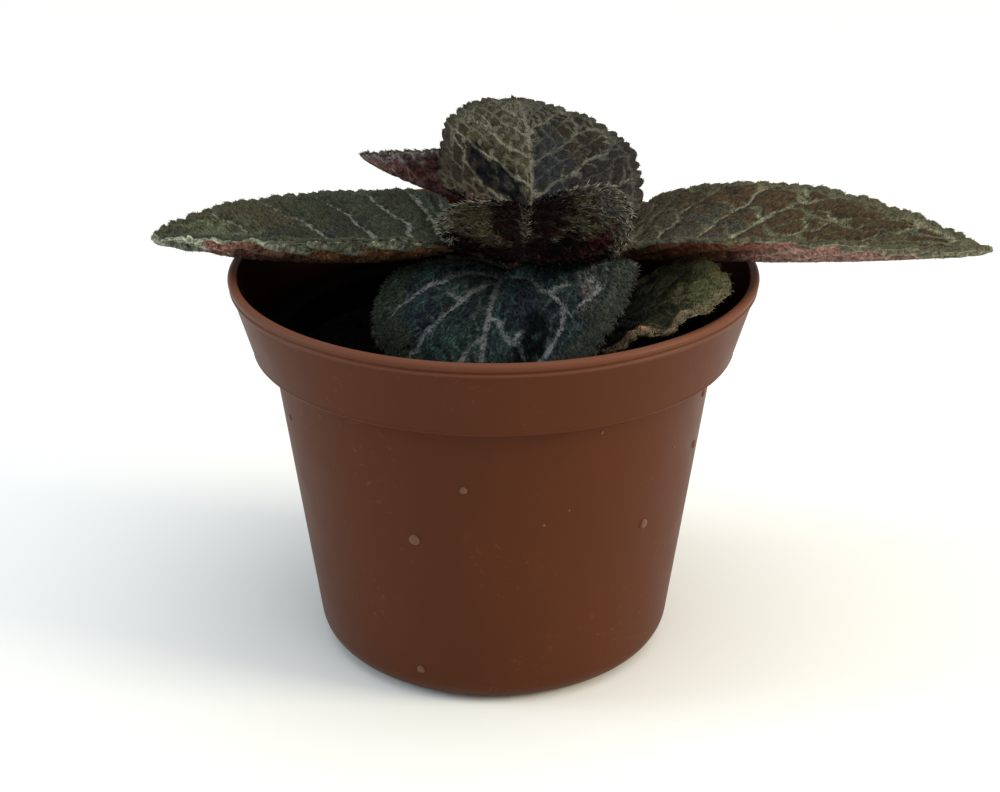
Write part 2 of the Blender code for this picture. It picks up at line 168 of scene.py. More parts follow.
def slide(tree, value, start, stop, low=0.0, high=1.0):
    # low below start, high above stop, smooth between them
    inputs = {"Value": value, "From Min": start, "From Max": stop, "To Min": low, "To Max": high}
    return addNode(
        tree, "ShaderNodeMapRange", inputs, interpolation_type="SMOOTHSTEP"
    ).outputs["Result"]


def times(tree, first, second):
    return addNode(tree, "ShaderNodeMath", {0: first, 1: second}, operation="MULTIPLY").outputs[0]


def plus(tree, first, second):
    return addNode(tree, "ShaderNodeMath", {0: first, 1: second}, operation="ADD").outputs[0]


def blendColors(tree, factor, first, second):
    inputs = {0: factor, 6: asColor(first), 7: asColor(second)}
    return addNode(tree, "ShaderNodeMix", inputs, data_type="RGBA").outputs[2]


def asColor(value):
    return value if isinstance(value, bpy.types.NodeSocket) else (*value, 1)


def addBump(tree, shader, height, strength, depth):
    inputs = {"Height": height, "Strength": strength, "Distance": depth}
    bump = addNode(tree, "ShaderNodeBump", inputs)
    tree.links.new(bump.outputs["Normal"], shader.inputs["Normal"])


# Small tools for meshes

def addPiece(name, mesh, slotName, *nodes):
    piece = bpy.data.objects.new(name, mesh)
    bpy.context.scene.collection.objects.link(piece)
    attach(piece, "root")
    if nodes:
        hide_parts(*nodes)
    return piece


def finishMesh(bm, name):
    mesh = bpy.data.meshes.new(name)
    bm.to_mesh(mesh)
    bm.free()
    mesh.shade_smooth()
    return mesh


def appliedMesh(piece):
    # the piece's mesh with its modifiers worked in
    bpy.context.view_layer.update()
    evaluated = piece.evaluated_get(bpy.context.evaluated_depsgraph_get())
    return bpy.data.meshes.new_from_object(evaluated)


def readPoints(mesh):
    points = np.empty(len(mesh.vertices) * 3)
    mesh.vertices.foreach_get("co", points)
    return points.reshape(-1, 3)


def readNormals(mesh):
    normals = np.empty(len(mesh.vertices) * 3)
    mesh.vertices.foreach_get("normal", normals)
    return normals.reshape(-1, 3)


def writePoints(mesh, points):
    mesh.vertices.foreach_set("co", points.astype(np.float32).ravel())
    mesh.update()


def readValues(mesh, name):
    values = np.empty(len(mesh.vertices))
    mesh.attributes[name].data.foreach_get("value", values)
    return values


def writeValues(mesh, name, values):
    attribute = mesh.attributes.get(name) or mesh.attributes.new(name, "FLOAT", "POINT")
    attribute.data.foreach_set("value", values.astype(np.float32))


def writeVectors(mesh, name, vectors):
    attribute = mesh.attributes.new(name, "FLOAT_VECTOR", "POINT")
    attribute.data.foreach_set("vector", vectors.astype(np.float32).ravel())


def spinProfile(name, points, steps):
    # turns a (radius, height) line about the pot's axis, with both ends on the axis
    bm = bmesh.new()
    verts = [bm.verts.new((radius, 0, height)) for radius, height in points]
    edges = [bm.edges.new(pair) for pair in zip(verts, verts[1:])]
    bmesh.ops.spin(
        bm, geom=verts + edges, cent=(0, 0, 0), axis=(0, 0, 1),
        angle=2 * math.pi, steps=steps, use_merge=True,
    )
    bmesh.ops.remove_doubles(bm, verts=bm.verts, dist=0.002 * mm)
    bmesh.ops.recalc_face_normals(bm, faces=bm.faces)
    return finishMesh(bm, name)


def arcPoints(centre, radius, start, end, steps):
    # degrees, 0 pointing outwards and 90 up
    angles = [math.radians(start + (end - start) * step / steps) for step in range(steps + 1)]
    return [(centre[0] + radius * math.cos(a), centre[1] + radius * math.sin(a)) for a in angles]


def softened(points, radius, steps=4):
    # rounds each inner corner of a (radius, height) line
    line = [Vector(point) for point in points]
    out = [line[0]]
    for before, corner, after in zip(line, line[1:], line[2:]):
        reachIn = min(radius, (corner - before).length * 0.45)
        reachOut = min(radius, (after - corner).length * 0.45)
        start = corner + (before - corner).normalized() * reachIn
        end = corner + (after - corner).normalized() * reachOut
        for step in range(steps + 1):
            t = step / steps
            out.append(start * (1 - t) ** 2 + corner * 2 * t * (1 - t) + end * t * t)
    return [tuple(point) for point in out + [line[-1]]]


def between(pair, share):
    return pair[0] + (pair[1] - pair[0]) * share


# Pot: a brown nursery pot of satin plastic

potSetup = {
    "rimRadius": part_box("pot")[1].x,
    "height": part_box("pot")[1].z,
    "wall": 1.2 * mm,
    "lipWidth": 1.6 * mm,
    "lipHeight": 1.5 * mm,
    "beadDepth": 0.42 * mm,
    "beadHeight": 0.9 * mm,
    "lipTuck": (0.1 * mm, 0.25 * mm),  # where the lip's outer wall ends, inwards and above its base
    "lipNotch": (0.4, 0.05 * mm),  # between lip and bead: share of the bead's depth, height above the base
    "beadLine": ((1, 0.35), (1, 0.65), (0, 1)),  # its course, in shares of its depth and height
    "collarTop": 44.4 * mm,
    "collarBottom": 41.2 * mm,
    "collarHeight": 54.9 * mm,
    # points round the collar's lower corner, in mm outwards and up from it
    "collarEdge": ((0.12, 0.75), (0.12, 0.35), (-0.35, -0.05)),
    "bodyTop": 38.0 * mm,
    "bodyHeight": 54.4 * mm,
    "bodyBase": 30.6 * mm,
    "shoulder": (0.3 * mm, 0.2 * mm),  # how far the step under the collar stands out and up
    "shoulderDrop": 0.6 * mm,
    "footRounding": 5.4 * mm,
    "footRing": 2.2 * mm,
    "recess": 1.2 * mm,
    "recessDraft": 0.6 * mm,
    "pad": 7.0 * mm,
    "floor": 2.4 * mm,
    "floorRounding": 4.0 * mm,
    "softEdge": 0.35 * mm,
    "softBase": 0.3 * mm,
    "drainHoles": 6,
    "drainRadius": 2.4 * mm,
    "drainCircle": 15.5 * mm,
    "steps": 176,
    "lipSteps": 14,
    "footSteps": 12,
    "floorSteps": 8,
    "sharpAngle": 50,  # degrees
    # colours and finish
    "clay": (0.0755, 0.0196, 0.0056),
    "clayDeep": (0.0715, 0.0186, 0.0050),
    "dusty": (0.15, 0.07, 0.045),
    # painted highlight: the lip's paler colour, where it catches the light
    "lip": (0.130, 0.047, 0.027),
    "inside": (0.002, 0.001, 0.0008),  # painted shade: the inner wall made near black, as the shade inside the pot
    "roughness": (0.40, 0.50),
    "gloss": (0.09, 0.01),  # outside and inside
    "cloudScale": 55,
    "speckleScale": 900,
    "dustiness": 0.35,
    "speckleRelief": 0.03 * mm,
    "insideDepth": (0.6, 0.9),  # shares of the wall where the painted inner shade starts and is full
    "rimFade": (0.2 * mm, 0.8 * mm),  # below the top, where the painted inner shade comes in
    "paleFrom": 0.3 * mm,  # below the lip's base, where the painted highlight on the lip starts
    # strength of the painted highlight line along the bead
    "beadHighlight": 0.8,
    "beadHighlightBand": (0.4, 0.3),  # middle and spread of the bead's painted highlight line, in shares of its height
}


def potTaper():
    return math.atan2(potSetup["bodyTop"] - potSetup["bodyBase"], potSetup["bodyHeight"])


def bodyRadius(height):
    return potSetup["bodyBase"] + height * math.tan(potTaper())


def innerRadius(height):
    return bodyRadius(height) - potSetup["wall"] / math.cos(potTaper())


def potMaterial():
    material, tree, shader = startMaterial("potPlastic")
    place = objectPlace(tree)
    cloud = grainAt(tree, place, potSetup["cloudScale"], 4)
    speckle = grainAt(tree, place, potSetup["speckleScale"], 2)
    color = blendColors(tree, slide(tree, cloud, 0.35, 0.65), potSetup["clayDeep"], potSetup["clay"])
    dust = times(tree, slide(tree, speckle, 0.60, 0.74), slide(tree, cloud, 0.45, 0.7))
    color = blendColors(tree, times(tree, dust, potSetup["dustiness"]), color, potSetup["dusty"])
    inside = readMask(tree, "inside")
    # painted highlight: the lip and a line along the bead made paler
    color = blendColors(tree, readMask(tree, "lip"), color, potSetup["lip"])
    # painted shade: the inner wall turns near black
    color = blendColors(tree, inside, color, potSetup["inside"])
    tree.links.new(slide(tree, inside, 0, 1, *potSetup["gloss"]), shader.inputs["Specular IOR Level"])
    tree.links.new(color, shader.inputs["Base Color"])
    tree.links.new(slide(tree, cloud, 0.3, 0.7, *potSetup["roughness"]), shader.inputs["Roughness"])
    addBump(tree, shader, speckle, 0.3, potSetup["speckleRelief"])
    return material


def makePot():
    shape = potSetup
    lipBase = shape["height"] - shape["lipHeight"]
    lipRound = shape["lipWidth"] / 2
    lip = arcPoints(
        (shape["rimRadius"] - lipRound, shape["height"] - lipRound), lipRound, 170, 0, shape["lipSteps"]
    )
    bead = [
        (shape["rimRadius"] - shape["lipTuck"][0], lipBase + shape["lipTuck"][1]),
        (shape["collarTop"] + shape["beadDepth"] * shape["lipNotch"][0], lipBase + shape["lipNotch"][1]),
    ]
    bead += [
        (shape["collarTop"] + shape["beadDepth"] * out, lipBase - shape["beadHeight"] * down)
        for out, down in shape["beadLine"]
    ]
    collar = [
        (shape["collarBottom"] + out * mm, shape["collarHeight"] + up * mm)
        for out, up in shape["collarEdge"]
    ]
    drop = shape["bodyHeight"] - shape["shoulderDrop"]
    collar += [
        (shape["bodyTop"] + shape["shoulder"][0], shape["bodyHeight"] + shape["shoulder"][1]),
        (bodyRadius(drop), drop),
    ]
    footRadius = bodyRadius(shape["footRounding"]) - shape["footRounding"] / math.cos(potTaper())
    foot = arcPoints(
        (footRadius, shape["footRounding"]), shape["footRounding"],
        -math.degrees(potTaper()), -90, shape["footSteps"],
    )
    ringInner = footRadius - shape["footRing"]
    base = [
        (ringInner, 0),
        (ringInner - shape["recessDraft"], shape["recess"]),
        (shape["pad"] + shape["recessDraft"], shape["recess"]),
        (shape["pad"], 0),
        (0, 0),
    ]
    cornerRound = shape["floorRounding"]
    corner = arcPoints(
        (innerRadius(shape["floor"] + cornerRound) - cornerRound, shape["floor"] + cornerRound),
        cornerRound, -90, 0, shape["floorSteps"],
    )
    inside = [(0, shape["floor"])] + corner + [
        (innerRadius(shape["bodyHeight"] + shape["wall"]), shape["bodyHeight"] + shape["wall"]),
        (shape["collarBottom"] - shape["wall"], shape["collarHeight"] + shape["wall"]),
        (shape["collarTop"] - shape["wall"], lipBase - shape["beadHeight"]),
    ]
    outside = softened([lip[-1]] + bead + collar + [foot[0]], shape["softEdge"])
    under = softened([foot[-1]] + base, shape["softBase"])
    mesh = spinProfile("pot", inside + lip + outside[1:-1] + foot + under[1:], shape["steps"])
    pot = addPiece("potShell", mesh, "pot_plastic", "pot")
    for index in range(shape["drainHoles"]):
        angle = 2 * math.pi * (index + 0.5) / shape["drainHoles"]
        drillHole(pot, shape["drainCircle"] * math.cos(angle), shape["drainCircle"] * math.sin(angle))
    drilled = appliedMesh(pot)
    pot.modifiers.clear()
    pot.data = drilled
    for cutter in [item for item in bpy.data.objects if item.name.startswith("drainDrill")]:
        bpy.data.objects.remove(cutter)
    pot.data.set_sharp_from_angle(angle=math.radians(shape["sharpAngle"]))

    # marks where the painted inner shade and the painted highlight on lip and bead go
    points = readPoints(pot.data)
    height = points[:, 2]
    depth = np.array([wallRadius(z) - math.hypot(x, y) for x, y, z in points])
    start, full = shape["insideDepth"]
    inner = smooth(depth, shape["wall"] * start, shape["wall"] * full)
    inner *= height > shape["floor"] - 0.1 * mm
    inner *= smooth(shape["height"] - height, *shape["rimFade"])
    writeValues(pot.data, "inside", inner)
    # painted highlight: a pale line along the bead, and the lip paler towards its top
    middle, spread = shape["beadHighlightBand"]
    highlightLine = np.exp(-(((height - lipBase) / shape["beadHeight"] + middle) / spread) ** 2)
    pale = smooth(height, lipBase - shape["paleFrom"], shape["height"])
    pale = np.maximum(pale, shape["beadHighlight"] * highlightLine)
    writeValues(pot.data, "lip", pale * (1 - inner))
    pot.data.materials.clear()
    pot.data.materials.append(potMaterial())


def drillHole(pot, x, y):
    bm = bmesh.new()
    radius = potSetup["drainRadius"]
    depth = potSetup["floor"] + 4 * mm  # longer than the floor is thick
    bmesh.ops.create_cone(bm, cap_ends=True, segments=40, radius1=radius, radius2=radius, depth=depth)
    drill = bpy.data.objects.new("drainDrill", finishMesh(bm, "drainDrill"))
    drill.location = (x, y, potSetup["floor"] / 2)
    drill.hide_render = True
    bpy.context.scene.collection.objects.link(drill)
    hole = pot.modifiers.new("hole", "BOOLEAN")
    hole.operation = "DIFFERENCE"
    hole.object = drill


# Water drops left on the pot after watering

dropSetup = {
    # azimuth in degrees, height and radius in mm
    "drops": [
        (-111.4, 32.8, 0.95), (-97.4, 43.4, 0.6), (-44.4, 31.5, 0.85), (-113.0, 6.2, 0.7),
        (-55.0, 54.2, 0.8), (-19.0, 40.2, 0.7), (-19.2, 49.9, 0.65), (-76.8, 36.4, 0.3),
        (-70.1, 38.6, 0.22), (-62.8, 52.3, 0.3), (-35.5, 44.0, 0.25), (28.0, 35.0, 0.6),
        (64.0, 22.0, 0.8), (103.0, 41.0, 0.7), (151.0, 28.0, 0.55), (-158.0, 46.0, 0.5),
    ],
    "flatness": 0.5,
    "length": 1.08,
    "sag": 0.18,
    "ripple": 0.05 * mm,
    "finish": {
        "Base Color": (0.125, 0.058, 0.036, 1),
        "Roughness": 0.4,
        "Specular IOR Level": 0.12,
    },
}


def makeDrops():
    bm = bmesh.new()
    for azimuth, height, radius in dropSetup["drops"]:
        angle = math.radians(azimuth)
        outward = Vector((math.cos(angle), math.sin(angle), 0))
        slope = potTaper()
        normal = outward * math.cos(slope) - Vector((0, 0, math.sin(slope)))
        down = Vector((0, 0, -1)) + normal * normal.z
        down.normalize()
        aside = normal.cross(down)
        centre = outward * wallRadius(height * mm) + Vector((0, 0, height * mm))
        made = bmesh.ops.create_uvsphere(bm, u_segments=20, v_segments=12, radius=radius * mm)
        for vert in made["verts"]:
            x, y, z = vert.co
            spread = 1 + dropSetup["sag"] * y / (radius * mm)
            vert.co = (
                centre + aside * x * spread + down * y * dropSetup["length"]
                + normal * z * dropSetup["flatness"]
            )
    mesh = finishMesh(bm, "waterDrops")
    drops = addPiece("waterDrops", mesh, "pot_plastic")
    material, tree, shader = startMaterial("waterDrop", **dropSetup["finish"])
    ripple = grainAt(tree, objectPlace(tree), 1500, 1)
    addBump(tree, shader, ripple, 0.08, dropSetup["ripple"])
    drops.data.materials.append(material)


def wallRadius(height):
    # the pot's outer radius at a height, without lip and bead
    shape = potSetup
    if height <= shape["bodyHeight"]:
        return bodyRadius(height)
    if height <= shape["collarHeight"]:
        share = (height - shape["bodyHeight"]) / (shape["collarHeight"] - shape["bodyHeight"])
        return between((shape["bodyTop"], shape["collarBottom"]), share)
    lipBase = shape["height"] - shape["lipHeight"]
    share = min(1, (height - shape["collarHeight"]) / (lipBase - shape["collarHeight"]))
    return between((shape["collarBottom"], shape["collarTop"]), share)


# Soil: dark, moist and crumbly

soilSetup = {
    "edgeHeight": 50.6 * mm,
    "centreHeight": 54.2 * mm,
    "relief": 1.3 * mm,
    "reliefSize": 4.5 * mm,
    "crumbRelief": 0.45 * mm,
    "crumbSize": 1.1 * mm,
    "calmEdge": 4.0 * mm,
    "rings": 110,
    "steps": 260,
    "seed": 11,
    "crumbs": 420,
    "crumbRadius": (0.35, 1.25),  # mm
    "smallCrumbs": 2.2,  # a higher number makes more of the crumbs small
    "crumbEdge": 1.6 * mm,  # free of crumbs beside the wall
    "lumpStretch": (0.7, 0.6),  # least, and how much more at most
    "lumpRelief": 0.45,
    "lumpRise": 0.15,  # how far a lump's middle stands above the soil, in shares of its radius
    "gap": 0.3 * mm,
    "grainRadius": 0.75 * mm,
    # places of the pale grains, in mm
    "grains": [(-27.0, -11.0), (-31.5, 4.5), (-9.0, 26.0), (19.0, 24.0), (24.0, -21.0)],
    # colours
    "peat": (0.0035, 0.0026, 0.0022),
    "fibre": (0.014, 0.009, 0.006),
    "grain": (0.16, 0.20, 0.19),
}


def soilHeight(x, y):
    edge = innerRadius(soilSetup["edgeHeight"]) - soilSetup["gap"]
    radius = math.hypot(x, y)
    share = radius / edge
    height = between((soilSetup["centreHeight"], soilSetup["edgeHeight"]), share * share)
    calm = max(0.0, min(1.0, (edge - radius) / soilSetup["calmEdge"]))
    height += soilSetup["relief"] * noise.noise(Vector((x, y, 0)) / soilSetup["reliefSize"]) * calm
    crumb = noise.turbulence(Vector((x, y, 7.0 * mm)) / soilSetup["crumbSize"], 3, True)
    return height + soilSetup["crumbRelief"] * (crumb - 0.6) * calm


def makeSoil():
    # a flat disc of rings that follows the pot below, then raised to the soil's height
    edge = innerRadius(soilSetup["edgeHeight"]) - soilSetup["gap"]
    floor = potSetup["floor"] + soilSetup["gap"]
    foot = floor + potSetup["floorRounding"]
    rings = soilSetup["rings"]
    points = [(edge * ring / rings, soilSetup["edgeHeight"]) for ring in range(rings + 1)]
    points += [
        (innerRadius(foot) - soilSetup["gap"], foot),
        (innerRadius(foot) - potSetup["floorRounding"], floor),
        (0, floor),
    ]
    mesh = spinProfile("soil", points, soilSetup["steps"])
    places = readPoints(mesh)
    top = places[:, 2] > soilSetup["edgeHeight"] - 0.1 * mm
    for index in np.flatnonzero(top):
        places[index, 2] = soilHeight(places[index, 0], places[index, 1])
    writePoints(mesh, places)
    soil = addPiece("soilBed", mesh, "soil", "soil")
    soil.data.materials.append(soilMaterial("moistPeat", soilSetup["peat"], soilSetup["fibre"]))
    random = np.random.default_rng(soilSetup["seed"])
    crumbs = bmesh.new()
    for _ in range(soilSetup["crumbs"]):
        radius = between(soilSetup["crumbRadius"], random.random() ** soilSetup["smallCrumbs"]) * mm
        reach = math.sqrt(random.random()) * (edge - soilSetup["crumbEdge"])
        angle = random.random() * 2 * math.pi
        addLump(crumbs, reach * math.cos(angle), reach * math.sin(angle), radius, random)
    lumps = addPiece("soilCrumbs", finishMesh(crumbs, "soilCrumbs"), "soil")
    lumps.data.materials.append(soilMaterial("peatCrumb", soilSetup["peat"], soilSetup["fibre"]))
    grains = bmesh.new()
    for x, y in soilSetup["grains"]:
        addLump(grains, x * mm, y * mm, soilSetup["grainRadius"], random)
    pale = addPiece("soilGrains", finishMesh(grains, "soilGrains"), "soil")
    pale.data.materials.append(soilMaterial("paleGrain", soilSetup["grain"], soilSetup["fibre"]))


def addLump(bm, x, y, radius, random):
    # a stretched and bumpy ball, half sunk in the soil
    made = bmesh.ops.create_icosphere(bm, subdivisions=2, radius=radius)
    least, more = soilSetup["lumpStretch"]
    stretch = Vector(least + more * random.random(3))
    seed = Vector(random.random(3) * 50)
    centre = Vector((x, y, soilHeight(x, y) + radius * soilSetup["lumpRise"]))
    for vert in made["verts"]:
        bumpy = 1 + soilSetup["lumpRelief"] * noise.noise(vert.co / radius * 1.6 + seed)
        vert.co = centre + Vector([a * b for a, b in zip(vert.co, stretch)]) * bumpy


def soilMaterial(name, dark, light):
    material, tree, shader = startMaterial(name, **{"Roughness": 0.9, "Specular IOR Level": 0.03})
    place = objectPlace(tree)
    fleck = grainAt(tree, place, 1400, 5, 0.7)
    color = blendColors(tree, slide(tree, fleck, 0.52, 0.72), dark, light)
    tree.links.new(color, shader.inputs["Base Color"])
    addBump(tree, shader, fleck, 0.9, 0.25 * mm)
    return material


# Leaves: the blade lies along its midrib, as in the solid model. Lengths in mm, angles in degrees.

leafRules = {
    "veinLean": 0.55,
    "lobeEnd": 0.4,
    "thickness": 0.5,
    "quilting": 0.42,  # how far the blade is puffed up between side veins
    "cellPuff": 0.17,  # and again between the small net veins
    "ribRelief": 0.28,
    "waviness": 0.22,
    "rowStep": 0.25,  # along the margin
    "columnStep": 0.5,
    "toothZone": 0.9,
    "zoneBlur": 0.05,
    "zoneWander": 0.05,
    "ribSteps": 240,
    "weldGap": 0.01,  # mm, grid points closer than this at stalk and tip become one
    # wavy fields that shift rows, columns and vein widths: (strength, size in mm)
    "rowDrift": ((0.28, 5), (0.10, 1.6)),
    "columnSway": ((0.30, 4), (0.12, 1.4)),
    "veinSwell": ((0.10, 2.2), (0.07, 0.9)),
    "branchSway": 0.12,
    "rimVein": (1.3, 0.35, 0.04),  # mm inside the margin, how far it strays and half its width
    "calmEdge": 2.5,  # mm beside the margin that stay flat
    "ruffleSize": 9,
    "ruffleFrom": 0.3,
    "crumpleSize": 3.4,
    "crumpleFrom": 0.72,
    "veinHairReach": 0.5,  # mm beside a vein where the hairs are pale
    "netRidge": 0.1,
}

leafDefaults = {
    "roll": (0, 0), "sweep": 0,
    "foldLeft": (0, 0), "foldRight": (0, 0), "curlLeft": (0, 0), "curlRight": (0, 0),
    "shareLeft": 1, "shareRight": 1, "lobe": 3, "baseFullness": 0.42, "tipFullness": 0.65,
    "lobeFill": (0, 0),  # how much fuller each side is beside the stalk, left and right
    # side veins, each by its row at the midrib, halfway out and at the margin, and how far out it goes
    "veinsLeft": (
        (0.2, 0.2, 0.2), (0.31, 0.315, 0.33), (0.42, 0.43, 0.46), (0.53, 0.55, 0.61), (0.64, 0.665, 0.74),
        (0.76, 0.78, 0.84),
    ),
    "veinsRight": (
        (0.22, 0.22, 0.22), (0.33, 0.335, 0.35), (0.44, 0.45, 0.48), (0.55, 0.57, 0.63), (0.67, 0.695, 0.77),
        (0.79, 0.81, 0.86),
    ),
    "branches": (), "branchWidth": 0.4,  # each branch runs through places (column, row)
    "midribWidth": (0.72, 0.3), "veinWidth": (0.6, 0.3),
    "cellSize": 1.9, "cellLength": 2.4, "netWidth": 0.16, "netReach": 1.3,
    "toothLength": 1.6, "toothDepth": 0.55, "tipTeeth": 0, "crumple": 0.2, "ruffle": 1, "pucker": 1,
    "patchAmount": 0.6, "patchShare": (0.2, 0.5), "netAmount": 0.45, "edgeWidth": 1.3, "edgeAmount": 0.5,
    "ragged": 0.3, "veinSoft": 0.16,  # mm that the veins are feathered and blurred
    "light": (0.75, 1.25),  # painted shade in the fur's darkest gaps and painted highlights on its lightest tufts
    # areas of another colour, the leaf's own or painted shade and light: (side or 0 for both, rows, columns,
    # strength, hair tone, colour)
    "zones": (),
    "bandFrom": ((0, 0.86), (1, 0.86)),  # (row, column) where the pale band under the margin starts
    "hairs": 2.2, "hairLength": 0.8, "hairWidth": 0.13, "veinHairs": 2.0, "rimHairs": 1.5,
    "underHairs": 1.5, "underLength": 0.6, "edgeHairs": 9.0, "edgeHairLength": 0.6, "lean": 0.75,
    "hairFloor": 0,  # tone of the darkest hairs, against the palest
    "gloss": 0.05,
    "stalkShade": 1,  # painted shade: how bright the stalk is left, and the underside beside it
    "keelShade": 0.7,  # and the painted shade on the underside beside the midrib
    "ribRadius": 0.8,
    "pinkFrom": (0.5, 0.8),  # rows where the underside turns into its tip colour
}

